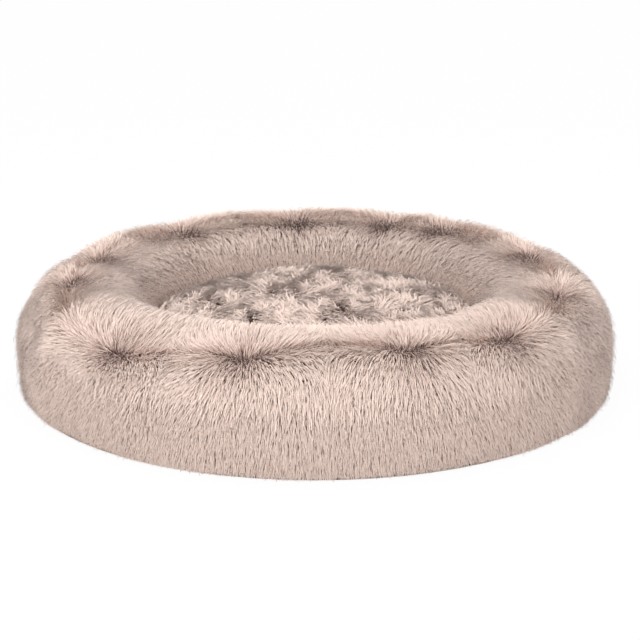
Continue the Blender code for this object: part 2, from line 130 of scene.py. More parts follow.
# The gathers of the top seam. Each one sits a little off its even place.
GATHER_COUNT = 12
FIRST_GATHER = math.radians(15)
GATHER_SWAY = tuple(math.radians(sway) for sway in (3, 7, -6, -9.5, -5, -1, -9, 5, 1.5, 2.8, -5, -3))
GATHER_DEPTH = 0.005
GATHER_FOCUS = 6
DIMPLE_DEPTH = 0.006
DIMPLE_REACH = 0.015

# Where the ring's cover has rolled outwards over its stuffing: at what angle, how far and how broadly
ROLLS = (
    (math.radians(-131), math.radians(32), math.radians(29)),
    (math.radians(-49), math.radians(16), math.radians(26)),
)
ROLL_END = math.radians(80)
ROLL_SQUASH_SHARE = 0.25

# How far the ring sags at its left and right
SIDE_SAG_SHARE = 0.11
SAG_FOCUS = 3
SAG_SIDE_FOCUS = 4

# The tape that binds the gathers, under the seam
TAPE_WIDTH = 0.012
TAPE_DROP = 0.006
TAPE_THICKNESS = 0.0008
TAPE_RUFFLES = 180
TAPE_RUFFLE_DEPTH = 0.0008
TAPE_ROWS = 5
TAPE_MERGE = 0.00001

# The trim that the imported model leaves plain
COIL_WIRE_RADIUS = 0.00055
COIL_REACH = 0.00025
COIL_HALF_DEPTH = 0.0013
THREAD_RADIUS = 0.00025
STITCH_LENGTH = 0.0030
STITCH_SPACE = 0.0008
STITCH_FLAT_SHARE = 0.6
TAPE_EDGE_INSET = 0.0035
COIL_ROW_INSET = 0.0020
BASE_EDGE_INSET = 0.006
GRIP_RADIUS = 0.0032
GRIP_RIM = 0.0008
GRIP_PROUD = 0.0005
GRIP_ROOT = 0.0002
GRIP_MARGIN = 0.016

# How finely the skins are cut
ARC_STEPS = 10
SKIN_STEPS = 30
TABLE_TURNS = 720
TABLE_STEPS = 160
TABLE_MARGIN = math.radians(8)
ZIP_END_LAP = math.radians(1.1)
CENTRE_TURNS = 72
CENTRE_RINGS = 23
CENTRE_RING_POWER = 0.8
AXIS_CLEARANCE = 0.05
SLOPE_STEP = 0.002
FACING_SHARE = 0.9

# How roots are spread evenly, by steps that never fall into rows
SPREAD_STEPS = (0.7548776662466927, 0.5698402909980532)
SPREAD_SEED_STRIDE = 1000
SPOT_JITTER = 0.0015
CENTRE_SPREAD_POWER = 0.47
CENTRE_JITTER = 0.0012
CELL_EDGE = 0.2
SCATTER_WAYS = (12.9898, 78.233, 37.719)
SCATTER_SCALE = 43758.5453

# The pitch of a weave's waves, in threads
WEAVE_PITCH = 6.4

# The locks of fur, and where their shade map is read
SHADE_MAP = "OFBake"
SHADE_COLUMNS = 64
COLUMN_FILL_SHARE = 0.6
SHADE_ROW_EDGE = 0.01
CORE_SHARE = 0.01
COAT_LIGHT_SHARE = 0.82
LOCK_FLATNESS = 0.5
CROWN_START = 0.213
CROWN_LIMIT = 0.2275
SEAM_STAND_RUN = 0.024
FOOT_STAND_RUN = 0.016
STANDING_LIGHT_SHARE = 0.75
GATHER_PILE_SHARE = 0.5
GATHER_PILE_REACH = 0.035
GATHER_PILE_RUN = 0.045
LOWER_WALL_RUN = 0.11
FLAT_START = 0.06
FLAT_FADE = 0.05
ROOT_DEPTH = 0.001
LENGTH_SPREAD = (0.75, 1.2)
WIDTH_SPREAD = (0.7, 1.3)
TIP_SPREAD = (0.82, 1.2)
SEAM_LENGTHENING = 0.5
STAND_RUN = 0.03
LEAST_LENGTH = 0.012
BEND_SHARE = 0.38
BEND_HEIGHT = 1.25
BURST_REACH = 0.026
BURST_DROP = 0.012
BURST_STRETCH = 0.6
BURST_NARROWNESS = 0.8
FLOOR_CLEARANCE = 0.0004
FRINGE_REACH = 0.008
FRINGE_RUN = 0.012
FRINGE_STAND = 0.0110

# The flow of the pile: its burst from a gather, its swirls and curls, and its tufts
COMB_FOCUS = 0.7
COMB_FADE = 0.10
COMB_ROUNDING = 0.014
SWIRL_TURN = 0.14
SWIRL_SIZE = 0.09
CURL_TURN = 0.05
CURL_SIZE = 0.035
TUFT_TURN = 0.7
TUFT_REACH = 0.85
TUFT_REACH_SPREAD = 0.3
CLUMP_SPREAD = (0.5, 1.1)

# How dense each coat is, by how far below the seam its roots are
UPPER_END = 0.07
LOWER_START = 0.06
COAT_FADE = 0.06
LEAST_FINE_SHARE = 0.12
LEAST_GAP_SHARE = 0.35
GAP_RUN = 0.05
LEAST_FUZZ_SHARE = 0.12
FUZZ_CREST_RUN = 0.035

# The shade of a ring's lock: painted shade deeper in the pile, its tuft and chance, painted light low on the
# wall, and painted shade in a burst, where its dark roots show too
SHADE_BASE = 0.64
LAYER_PAINTED_SHADE = 0.14
TUFT_SHADE = 0.08
CHANCE_SHADE = 0.04
LOW_WALL_PAINTED_LIGHT = 0.13
BURST_PAINTED_SHADE = 0.10
BURST_ROOTING = 1.2
LOW_WALL_TONE_LOSS = 0.35

# The thin dark locks between the others, painted shade in the gaps with the dark of the roots: how many there
# are, how wide and how dark. Their painted shade is deeper in a burst and lighter low on the wall
GAP_AT_BURST = 1.6
GAP_LOW_WALL_LOSS = 0.4
GAP_WIDTH_SHARE = 0.6
GAP_ROOTS_AND_PAINTED_SHADE = 0.28
GAP_BURST_PAINTED_SHADE = 0.22
GAP_LOW_WALL_PAINTED_LIGHT = 0.12
GAP_HABITS = {"tone": -0.42, "start": 0.75, "gathered_share": 0.75}

# The fur of the centre, in short swirling tufts
CENTRE_SWIRLS = ((2.6, 0.14, 71), (1.3, 0.05, 72))
CENTRE_TUFT_TURN = 1.5
CENTRE_STRAY = 0.25
CENTRE_LENGTH_SPREAD = (0.55, 0.95)
CENTRE_TIP_SPREAD = (0.85, 1.25)
CENTRE_WIDTH_SPREAD = (0.7, 1.25)
CENTRE_BEND_SHARE = 0.35
CENTRE_BEND_HEIGHT = 1.2
# CENTRE_SHADE_WITH_PAINTED_LIGHT starts the centre's locks lighter than the ring's, as painted light against
# the shade on the cushion; CENTRE_LAYER_PAINTED_SHADE darkens the deeper ones as painted shade, and
# CENTRE_GAP_ROOTS_AND_PAINTED_SHADE a gap lock, as painted shade with the dark of the roots
CENTRE_SHADE_WITH_PAINTED_LIGHT = 0.86
CENTRE_LAYER_PAINTED_SHADE = 0.12
CENTRE_GAP_ROOTS_AND_PAINTED_SHADE = 0.38
CENTRE_TUFT_SHADE = 0.10
CENTRE_CHANCE_SHADE = 0.06
CENTRE_ROOTING = 0.7
CENTRE_SEED = 71
CENTRE_LOCKS = {"centre_long_coat": 27000, "centre_under_coat": 24000}

# The single hairs of fuzz, which are longest at the back of the crest
FUZZ_REACH = 0.010
FUZZ_BACK_REACH = 0.012
FUZZ_BACK_RUN = 0.06
FUZZ_REACH_SPREAD = (0.5, 1.0)
FUZZ_STRAY = 0.35
FUZZ_LEAN = 0.55
FUZZ_ROOT_SHARE = 0.55
FUZZ_BEND_SHARE = 0.12
FUZZ_WIDTHS = (0.0007, 0.0012)
FUZZ_SHADES = (0.6, 0.95)
FUZZ_SEED = 500

# Where the random draws of the ring's coats start, for each side and each part
SIDE_SEEDS = 20
PART_SEEDS = {"outer": 1, "inner": 10}

# How a lock's shade tints the colour of the fur, from the painted shade of gaps and gathers to the painted
# light of the crest
FUR_SHADES = (
    (0.0, (0.22, 0.165, 0.155)),
    (0.25, (0.55, 0.49, 0.475)),
    (0.5, (0.90, 0.885, 0.88)),
    (1.0, (1.12, 1.13, 1.13)),
)

# The studio: its paper, its lamps as their sizes and places, and its camera
WHITE = (1, 1, 1, 1)
PAPER_COLOUR = (0.92, 0.92, 0.92, 1)
PAPER_GLOW_SHARE = 0.95
FLOOR_SIZE = 14.0
FLOOR_PLACE = (0, 2.0, -0.0008)
LAMP_AIM = Vector((0, 0, 0.1))
LAMPS = {
    "key": (1.6, Vector((-0.8, -1.9, 2.1))),
    "fill": (2.2, Vector((0.1, -2.9, 0.7))),
    "top": (2.4, Vector((-0.1, 0.6, 2.5))),
}
CAMERA_AIM = Vector((0, 0, 0.12))
CAMERA_SHIFT = (0.0070, -0.0119)


class FurSettings(PropertyGroup):
    """The fur of the cover."""

    pile_length: FloatProperty(
        name="Pile length", description="Length of a lock of the long coat", default=0.042, unit="LENGTH"
    )
    lock_width: FloatProperty(
        name="Lock width", description="Width of a lock of the long coat", default=0.0031, unit="LENGTH"
    )
    coat_density: FloatProperty(
        name="Long coat density", description="Locks of the long coat on a square metre", default=154000.0
    )
    fine_density: FloatProperty(
        name="Fine coat density", description="Locks of the fine coat on a square metre", default=197000.0
    )
    undercoat_density: FloatProperty(
        name="Undercoat density", description="Locks of the undercoat on a square metre", default=33000.0
    )
    gap_density: FloatProperty(
        name="Gap density", description="Dark gaps between locks on a square metre", default=29000.0
    )
    fuzz_count: IntProperty(
        name="Fuzz count", description="Single hairs that stand out of the coat", default=26000
    )
    tip_colour: FloatVectorProperty(
        name="Tip colour", description="Colour of the fur's tips", subtype="COLOR", size=3,
        default=(0.87, 0.70, 0.62),
    )
    middle_colour: FloatVectorProperty(
        name="Middle colour", description="Colour half way down a lock", subtype="COLOR", size=3,
        default=(0.72, 0.545, 0.475),
    )
    root_colour: FloatVectorProperty(
        name="Root colour", description="Colour of the fur's roots", subtype="COLOR", size=3,
        default=(0.155, 0.088, 0.075),
    )
    skin_colour: FloatVectorProperty(
        name="Skin colour", description="Colour of the knitted backing", subtype="COLOR", size=3,
        default=(0.13, 0.075, 0.066),
    )


class TrimSettings(PropertyGroup):
    """The base, the zip and the inserts."""

    base_colour: FloatVectorProperty(
        name="Base colour", description="Colour of the non-slip underside", subtype="COLOR", size=3,
        default=(0.105, 0.080, 0.072),
    )
    grip_colour: FloatVectorProperty(
        name="Grip colour", description="Colour of the grip dots", subtype="COLOR", size=3,
        default=(0.30, 0.24, 0.22),
    )
    tape_colour: FloatVectorProperty(
        name="Tape colour", description="Colour of the zip's tapes", subtype="COLOR", size=3,
        default=(0.48, 0.34, 0.29),
    )
    coil_colour: FloatVectorProperty(
        name="Coil colour", description="Colour of the zip's coil", subtype="COLOR", size=3,
        default=(0.42, 0.29, 0.245),
    )
    thread_colour: FloatVectorProperty(
        name="Thread colour", description="Colour of the stitches", subtype="COLOR", size=3,
        default=(0.62, 0.47, 0.41),
    )
    metal_colour: FloatVectorProperty(
        name="Metal colour", description="Colour of the slider, the pull and the stops", subtype="COLOR",
        size=3, default=(0.58, 0.57, 0.55),
    )
    liner_colour: FloatVectorProperty(
        name="Liner colour", description="Colour of the inserts' bags", subtype="COLOR", size=3,
        default=(0.80, 0.79, 0.76),
    )
    grip_pitch: FloatProperty(
        name="Grip pitch", description="Distance between grip dots", default=0.028, unit="LENGTH"
    )
    tooth_pitch: FloatProperty(
        name="Tooth pitch", description="Distance between turns of the zip's coil", default=0.0016,
        unit="LENGTH",
    )


class StageSettings(PropertyGroup):
    """The camera, the lamps and the floor."""

    lens: FloatProperty(name="Lens", description="Focal length in millimetres", default=87.6)
    distance: FloatProperty(
        name="Distance", description="From the camera to the bed's middle", default=3.0, unit="LENGTH"
    )
    elevation: FloatProperty(
        name="Elevation", description="Camera angle above the floor", default=math.radians(16.1),
        subtype="ANGLE",
    )
    key_power: FloatProperty(name="Key power", description="Power of the main lamp in watts", default=26.0)
    fill_power: FloatProperty(name="Fill power", description="Power of the fill lamp in watts", default=14.0)
    top_power: FloatProperty(name="Top power", description="Power of the lamp above in watts", default=15.0)
    sky_strength: FloatProperty(name="Sky strength", description="Strength of the even light", default=0.90)


def fur_settings():
    """The fur's settings."""
    return bpy.context.scene.pet_bed_fur


def trim_settings():
    """The trim's settings."""
    return bpy.context.scene.pet_bed_trim


def stage_settings():
    """The stage's settings."""
    return bpy.context.scene.pet_bed_stage


def smooth_step(values):
    """An even ease from 0 to 1."""
    values = np.clip(values, 0.0, 1.0)
    return values * values * (3 - 2 * values)


def unit(vectors):
    """Vectors of length 1, along the last axis."""
    return vectors / np.maximum(np.linalg.norm(vectors, axis=-1, keepdims=True), 1e-12)


def waves(places, size, seed):
    """A smooth random field between about -1 and 1, whose swells are about size long."""
    draw = np.random.default_rng(seed)
    total = np.zeros(places.shape[:-1])
    for _ in range(WAVE_COUNT):
        way = unit(draw.normal(size=3))
        stretch = draw.uniform(*WAVE_STRETCHES)
        total += np.sin(places @ way * FULL_TURN / (size * stretch) + draw.uniform(0, FULL_TURN))
    return total / math.sqrt(WAVE_COUNT / 2) * WAVE_SHARE


def quarter_arc(start, end, upright_start, roundness, steps=ARC_STEPS):
    """Points along a quarter of a superellipse, which is upright at one end and level at the other."""
    turn = np.linspace(0, QUARTER_TURN, steps + 1)
    rise = np.sin(turn) ** (2 / roundness)
    run = 1 - np.clip(np.cos(turn), 0, 1) ** (2 / roundness)
    across, up = (run, rise) if upright_start else (rise, run)
    radius = start[0] + (end[0] - start[0]) * across
    height = start[1] + (end[1] - start[1]) * up
    return np.stack([radius, height], axis=1)


def even_line(runs, steps):
    """The runs of points joined into one line, cut into even steps along its length."""
    line = np.concatenate([runs[0]] + [run[1:] for run in runs[1:]])
    lengths = np.linalg.norm(np.diff(line, axis=0), axis=1)
    along = np.concatenate([[0], np.cumsum(lengths)])
    wanted = np.linspace(0, along[-1], steps + 1)
    return np.stack([np.interp(wanted, along, line[:, axis]) for axis in range(2)], axis=1)


def outer_line(crest_drop, foot_height, steps):
    """The skin of the ring's outside, from the gathered seam down to its foot."""
    seam = (SEAM_RADIUS, BED_HEIGHT - SEAM_DROP)
    crest = (SEAM_RADIUS + CREST_SET_IN, BED_HEIGHT - crest_drop)
    bulge = (BED_RADIUS - PILE_DEPTH, BULGE_HEIGHT)
    foot = (BED_RADIUS - PILE_DEPTH - FOOT_SET_IN, FOOT_HEIGHT)
    runs = [
        quarter_arc(seam, crest, True, WALL_ROUNDNESS),
        quarter_arc(crest, bulge, False, SHOULDER_ROUNDNESS),
        quarter_arc(bulge, foot, True, WALL_ROUNDNESS),
    ]
    line = even_line(runs, TABLE_STEPS)
    if foot_height > FOOT_HEIGHT:
        line = line[(line[:, 1] >= foot_height) | (line[:, 0] < SEAM_RADIUS + CREST_SET_IN)]
    return even_line([line], steps)


def inner_line(crest_drop, steps):
    """The skin of the ring's inside, from the gathered seam down to the crevice and its flange."""
    seam = (SEAM_RADIUS, BED_HEIGHT - SEAM_DROP)
    crest = (SEAM_RADIUS - INNER_CREST_SET_IN, BED_HEIGHT - crest_drop)
    low = (CREVICE_RADIUS + CREVICE_FLANGE, CREVICE_HEIGHT + CREVICE_LIP)
    flange = np.array([low, (CREVICE_RADIUS + FLANGE_GAP, CREVICE_HEIGHT + FLANGE_GAP)])
    runs = [
        quarter_arc(seam, crest, True, WALL_ROUNDNESS),
        quarter_arc(crest, low, False, WALL_ROUNDNESS),
        flange,
    ]
    return even_line(runs, steps)


def centre_line(steps):
    """The skin of the centre, from the middle of its crown out to its flange in the crevice."""
    edge = (CREVICE_RADIUS - CREVICE_FLANGE, CREVICE_HEIGHT + FLANGE_GAP)
    top = (0.0, CUSHION_HEIGHT - PILE_DEPTH)
    crown = quarter_arc(edge, top, True, CUSHION_ROUNDNESS)[::-1]
    flange = np.array([edge, (CREVICE_RADIUS - FLANGE_GAP, CREVICE_HEIGHT + FLANGE_GAP)])
    return even_line([crown, flange], steps)


def gather_angles():
    """The angle of each gather round the ring."""
    even = FIRST_GATHER + FULL_TURN / GATHER_COUNT * np.arange(GATHER_COUNT)
    return even + np.array(GATHER_SWAY)


def from_gather(angles):
    """The signed angle from the nearest gather, and its share of the way to the middle of that side."""
    knots = np.sort(np.mod(gather_angles(), FULL_TURN))
    turned = np.mod(angles, FULL_TURN)
    ring = np.concatenate([[knots[-1] - FULL_TURN], knots, [knots[0] + FULL_TURN]])
    after = np.clip(np.searchsorted(ring, turned), 1, len(ring) - 1)
    low, high = ring[after - 1], ring[after]
    nearer_low = turned - low < high - turned
    offset = np.where(nearer_low, turned - low, turned - high)
    return offset, np.abs(offset) / ((high - low) / 2)


def facing_front(angles):
    """1 at the front of the ring and 0 at its back."""
    return (1 - np.sin(angles)) / 2


def rolled_out(angle):
    """How far the cover has rolled outwards at each angle."""
    total = np.zeros_like(angle)
    for centre, amount, breadth in ROLLS:
        away = np.mod(angle - centre + FULL_TURN / 2, FULL_TURN) - FULL_TURN / 2
        total = total + amount * np.exp(-((away / breadth) ** 2))
    return total


def drawn_in(places):
    """The ring's skin with its broad folds, a dimple at each gather, and the roll of its cover."""
    radius = np.hypot(places[..., 0], places[..., 1])
    angle = np.arctan2(places[..., 1], places[..., 0])
    arm = np.stack([radius - SEAM_RADIUS, places[..., 2] - BULGE_HEIGHT], axis=-1)
    reach = np.linalg.norm(arm, axis=-1)
    upward = np.maximum(0.0, arm[..., 1] / reach)
    offset, share = from_gather(angle)
    fold = GATHER_DEPTH * upward**GATHER_FOCUS * np.cos(QUARTER_TURN * share) ** 2
    sag = reach * SIDE_SAG_SHARE * upward**SAG_FOCUS * np.cos(angle) ** SAG_SIDE_FOCUS
    seam_way = np.hypot(radius - SEAM_RADIUS, offset * SEAM_RADIUS)
    dimple = DIMPLE_DEPTH * np.exp(-((seam_way / DIMPLE_REACH) ** 2))
    swell = SWELL_HEIGHT * waves(places, SWELL_SIZE, SWELL_SEED) * np.clip(reach / SWELL_FADE, 0, 1)
    reach = reach - fold - sag - dimple + swell
    lean = np.arctan2(arm[..., 0], arm[..., 1])
    rolled = rolled_out(angle) * np.cos(QUARTER_TURN * np.clip(lean / ROLL_END, -1, 1)) ** 2
    reach = reach * (1 - ROLL_SQUASH_SHARE * rolled)
    radius = SEAM_RADIUS + reach * np.sin(lean + rolled)
    height = BULGE_HEIGHT + reach * np.cos(lean + rolled)
    return np.stack([radius * np.cos(angle), radius * np.sin(angle), height], axis=-1)


def around(line, angles):
    """A line of radii and heights turned to each angle."""
    radius, height = line[:, 0], line[:, 1]
    turn = np.asarray(angles)[:, None]
    flat = np.broadcast_to(height, (len(angles), len(line)))
    return np.stack([radius * np.cos(turn), radius * np.sin(turn), flat], axis=-1)


def outer_places(angles, foot_height, steps):
    """The skin of the ring's outside at each angle. Its crest lies lower at the front."""
    share = facing_front(np.asarray(angles))[:, None, None]
    low = around(outer_line(CREST_DROP_FRONT, foot_height, steps), angles)
    high = around(outer_line(CREST_DROP_BACK, foot_height, steps), angles)
    return drawn_in(low * share + high * (1 - share))


def inner_places(angles, steps):
    """The skin of the ring's inside at each angle. Its crest lies lower at the back."""
    share = facing_front(np.asarray(angles))[:, None, None]
    front = around(inner_line(INNER_CREST_DROP_FRONT, steps), angles)
    back = around(inner_line(INNER_CREST_DROP_BACK, steps), angles)
    return drawn_in(front * share + back * (1 - share))


class RingField:
    """A skin of the ring as a table that gives the place and the ways at any angle and run from the seam."""

    def __init__(self, places, start, end, outwards):
        self.start = start
        self.span = end - start
        self.places = places
        self.turns, self.steps = places.shape[0] - 1, places.shape[1] - 1
        self.length = np.linalg.norm(np.diff(places, axis=1), axis=2).sum(axis=1).mean()
        along = unit(np.gradient(places, axis=1))
        across = unit(np.gradient(places, axis=0))
        out = unit(np.cross(along, across) if outwards else np.cross(across, along))
        seam_step = round(SEAM_STAND_RUN / self.length * self.steps)
        foot_step = round(FOOT_STAND_RUN / self.length * self.steps)
        out[:, :seam_step] = out[:, seam_step : seam_step + 1]
        out[:, -foot_step:] = out[:, -foot_step - 1 : -foot_step]
        if outwards:
            along[:, -foot_step:] = along[:, -foot_step - 1 : -foot_step]
        self.ways = np.stack([out, along, across], axis=2)
        self.rings = np.hypot(places[..., 0], places[..., 1]).mean(axis=0)
        self.area = self.rings.mean() * self.length * QUARTER_TURN

    def spots(self, count, seed, start, end, density=None):
        """Spread angles and runs between two angles. density gives how dense they are at each run."""
        runs = np.linspace(0, self.length, self.steps + 1)
        thick = np.ones_like(runs) if density is None else density(runs)
        rings = self.rings * thick
        weight = np.concatenate([[0], np.cumsum((rings[1:] + rings[:-1]) / 2)])
        number = np.arange(count) + seed * SPREAD_SEED_STRIDE
        draw = np.random.default_rng(seed)
        first, second = (
            np.clip(np.mod(0.5 + step * number, 1) + draw.normal(scale=SPOT_JITTER, size=count), 0, 1)
            for step in SPREAD_STEPS
        )
        return start + (end - start) * first, np.interp(second * weight[-1], weight, runs)

    def share(self, density):
        """The share of the skin's area that a density covers."""
        runs = np.linspace(0, self.length, self.steps + 1)
        return (self.rings * density(runs)).sum() / self.rings.sum()

    def at(self, angle, run):
        """The place, and the outward, downward and sideways ways, at angles and runs."""
        turn = np.clip((angle - self.start) / self.span, 0, 1) * self.turns
        step = np.clip(run / self.length, 0, 1) * self.steps
        turn_low = np.minimum(turn.astype(int), self.turns - 1)
        step_low = np.minimum(step.astype(int), self.steps - 1)
        turn_share = (turn - turn_low)[:, None]
        step_share = (step - step_low)[:, None]
        found = []
        for table in (self.places, *np.moveaxis(self.ways, 2, 0)):
            near = table[turn_low, step_low] * (1 - step_share) + table[turn_low, step_low + 1] * step_share
            far = table[turn_low + 1, step_low] * (1 - step_share)
            far = far + table[turn_low + 1, step_low + 1] * step_share
            found.append(near * (1 - turn_share) + far * turn_share)
        return found

    def moved(self, angle, run, down, side):
        """The angle and run after a way down and a way to the side."""
        place = self.at(angle, run)[0]
        radius = np.maximum(np.hypot(place[:, 0], place[:, 1]), AXIS_CLEARANCE)
        return angle + side / radius, run + down


class CrownField:
    """The skin of the centre as a table over its radius. Places on it are given by X and Y."""

    def __init__(self):
        self.line = centre_line(TABLE_STEPS)
        self.radius = self.line[:, 0].max()

    def spots(self, count, seed):
        """Evenly spread places, a little denser towards the steep edge."""
        number = np.arange(count) + 0.5
        turn = number * math.pi * (3 - math.sqrt(5))
        radius = self.radius * (number / count) ** CENTRE_SPREAD_POWER
        jitter = np.random.default_rng(seed).normal(scale=CENTRE_JITTER, size=(2, count))
        return radius * np.cos(turn) + jitter[0], radius * np.sin(turn) + jitter[1]

    def height(self, across, deep):
        """The height of the skin, with the soft swells of its stuffing."""
        radius = np.hypot(across, deep)
        level = np.interp(radius, self.line[:, 0], self.line[:, 1])
        flat = np.stack([across, deep, np.zeros_like(across)], axis=-1)
        swell = CROWN_SWELL_HEIGHT * waves(flat, CROWN_SWELL_SIZE, CROWN_SWELL_SEED)
        return level + swell * smooth_step((self.radius - radius) / CROWN_SWELL_FADE)

    def at(self, across, deep):
        """The place, and the outward, forward and sideways ways, at each X and Y."""
        level = self.height(across, deep)
        slope_x = (self.height(across + SLOPE_STEP, deep) - level) / SLOPE_STEP
        slope_y = (self.height(across, deep + SLOPE_STEP) - level) / SLOPE_STEP
        ones, none = np.ones_like(across), np.zeros_like(across)
        along = unit(np.stack([none, ones, slope_y], axis=-1))
        side = unit(np.stack([ones, none, slope_x], axis=-1))
        out = unit(np.cross(side, along))
        return [np.stack([across, deep, level], axis=-1), out, along, side]

    def moved(self, across, deep, down, side):
        """The X and Y after a way forward and a way to the side, kept inside the edge."""
        new_across, new_deep = across + side, deep + down
        radius = np.hypot(new_across, new_deep)
        keep = np.minimum(1.0, self.radius / np.maximum(radius, 1e-6))
        return new_across * keep, new_deep * keep


def deselect_all():
    """Leaves nothing selected or active."""
    if bpy.context.object and bpy.context.object.mode != "OBJECT":
        bpy.ops.object.mode_set(mode="OBJECT")
    bpy.ops.object.select_all(action="DESELECT")
    bpy.context.view_layer.objects.active = None


def activate(piece):
    """Makes one object the only selected one, and the active one."""
    deselect_all()
    piece.select_set(True)
    bpy.context.view_layer.objects.active = piece


def apply_place(piece):
    """Puts the object at the origin, with its place in its mesh."""
    activate(piece)
    bpy.ops.object.transform_apply(location=True, rotation=True, scale=True)


def open_whole(piece):
    """Opens a piece for editing, with all of it selected."""
    activate(piece)
    bpy.ops.object.mode_set(mode="EDIT")
    bpy.ops.mesh.select_all(action="SELECT")


def open_facing(piece, way):
    """Opens a piece for editing, with only its faces that point along a way selected."""
    activate(piece)
    bpy.ops.object.mode_set(mode="EDIT")
    bpy.ops.mesh.select_mode(type="FACE")
    bpy.ops.mesh.select_all(action="DESELECT")
    bpy.ops.object.mode_set(mode="OBJECT")
    for face in piece.data.polygons:
        face.select = face.normal.dot(way) > FACING_SHARE
    bpy.ops.object.mode_set(mode="EDIT")


def close_edit():
    """Ends the editing of a piece."""
    bpy.ops.object.mode_set(mode="OBJECT")


def thicken(piece, thickness, offset):
    """Gives a sheet its thickness. An offset of -1 puts it all on the inside."""
    wall = piece.modifiers.new("Cloth", "SOLIDIFY")
    wall.thickness = thickness
    wall.offset = offset
    bpy.ops.object.modifier_apply(modifier=wall.name)
    piece.data.shade_smooth()


def finish_piece(piece, name, material, nodes=(), body=BODY):
    """Names a piece, gives it its finish, hides the nodes that it stands for, and ties it to the body."""
    piece.name = name
    piece.data.name = name
    piece.data.materials.clear()
    piece.data.materials.append(material)
    if nodes:
        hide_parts(*nodes)
    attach(piece, body)
    return piece


def mesh_piece(name, places, faces, shade_map=None, normals=None):
    """An object from arrays of places and three-cornered faces, with a shade map and normals if given."""
    mesh = bpy.data.meshes.new(name)
    mesh.vertices.add(len(places))
    mesh.vertices.foreach_set("co", places.astype(np.float32).ravel())
    corners = faces.astype(np.int32).ravel()
    mesh.loops.add(len(corners))
    mesh.loops.foreach_set("vertex_index", corners)
    mesh.polygons.add(len(faces))
    mesh.polygons.foreach_set("loop_start", np.arange(0, len(corners), 3, dtype=np.int32))
    if shade_map is not None:
        layer = mesh.uv_layers.new(name=SHADE_MAP)
        layer.data.foreach_set("uv", shade_map[corners].astype(np.float32).ravel())
    mesh.update(calc_edges=True)
    mesh.shade_smooth()
    if normals is not None:
        mesh.normals_split_custom_set_from_vertices(normals.tolist())
    piece = bpy.data.objects.new(name, mesh)
    bpy.context.scene.collection.objects.link(piece)
    return piece


def model_lock(name, waist_share):
    """One lock of fur from height 0 to 1: a closed spindle of three sides, widest at its waist.

    With its waist at 0 it is a bare spike, for single hairs and the undercoat.
    """
    deselect_all()
    bpy.ops.mesh.primitive_cone_add(
        vertices=3,
        radius1=1.0,
        radius2=0.0,
        depth=1 - waist_share,
        end_fill_type="TRIFAN" if waist_share else "NGON",
        location=(0, 0, (1 + waist_share) / 2),
    )
    lock = bpy.context.object
    lock.name = name
    apply_place(lock)
    places, faces = taken(lock)
    root = (np.hypot(places[:, 0], places[:, 1]) < CORE_SHARE) & (places[:, 2] < FACING_SHARE)
    places[root, 2] = 0.0
    return places, faces


def taken(piece):
    """The places and three-cornered faces of a piece to copy. The piece itself is removed."""
    open_whole(piece)
    bpy.ops.mesh.quads_convert_to_tris()
    bpy.ops.mesh.normals_make_consistent(inside=False)
    close_edit()
    places = np.array([vertex.co[:] for vertex in piece.data.vertices])
    faces = np.array([polygon.vertices[:] for polygon in piece.data.polygons])
    bpy.data.objects.remove(piece)
    return places, faces


def copies(name, shape, origins, outwards):
    """Copies of a shape in one mesh. Its Y points along outwards, which is level, and its Z up."""
    places, faces = shape
    outwards = outwards[:, None, :]
    along = np.stack([outwards[..., 1], -outwards[..., 0], outwards[..., 2]], axis=-1)
    up = np.array([0.0, 0.0, 1.0])
    placed = origins[:, None, :] + along * places[None, :, :1] + outwards * places[None, :, 1:2]
    placed = placed + up * places[None, :, 2:]
    all_faces = faces[None] + (np.arange(len(origins)) * len(places))[:, None, None]
    return mesh_piece(name, placed.reshape(-1, 3), all_faces.reshape(-1, 3))


def round_bed(name, shape, angles, radius, height):
    """Copies of a shape round the bed's axis, facing outwards."""
    outwards = np.stack([np.cos(angles), np.sin(angles), np.zeros_like(angles)], axis=-1)
    origins = outwards * radius + np.array([0.0, 0.0, height])
    return copies(name, shape, origins, outwards)


class Strands:
    """The paths of many locks: where each starts, bends and ends, and its sizes and shade.

    A root_share over 1 keeps a lock dark further up from its root.
    """

    def __init__(self, root, middle, tip, out, width, flatness, shade, root_share=None, light_share=None):
        self.root, self.middle, self.tip, self.out = (part[:, None, :] for part in (root, middle, tip, out))
        self.width = width[:, None, None]
        self.flatness = flatness
        self.column = np.clip((shade * SHADE_COLUMNS).astype(int), 0, SHADE_COLUMNS - 1)[:, None]
        count = len(width)
        self.root_share = np.ones(count)[:, None] if root_share is None else root_share[:, None]
        even_light = np.full(count, COAT_LIGHT_SHARE)
        self.light_share = (even_light if light_share is None else light_share)[:, None, None]

    def along(self, share):
        """The places and ways at shares of the locks' length. A path bends as its middle draws it."""
        rest = 1 - share
        place = self.root * rest**2 + 2 * self.middle * share * rest + self.tip * share**2
        way = unit(2 * (self.middle - self.root) * rest + 2 * (self.tip - self.middle) * share)
        return place, way


def pressed_down(heights):
    """Heights in the pile, with those over the crown's start pressed together under its limit."""
    room = CROWN_LIMIT - CROWN_START
    over = np.maximum(heights - CROWN_START, 0)
    return np.minimum(heights, CROWN_START) + room * (1 - np.exp(-over / room))


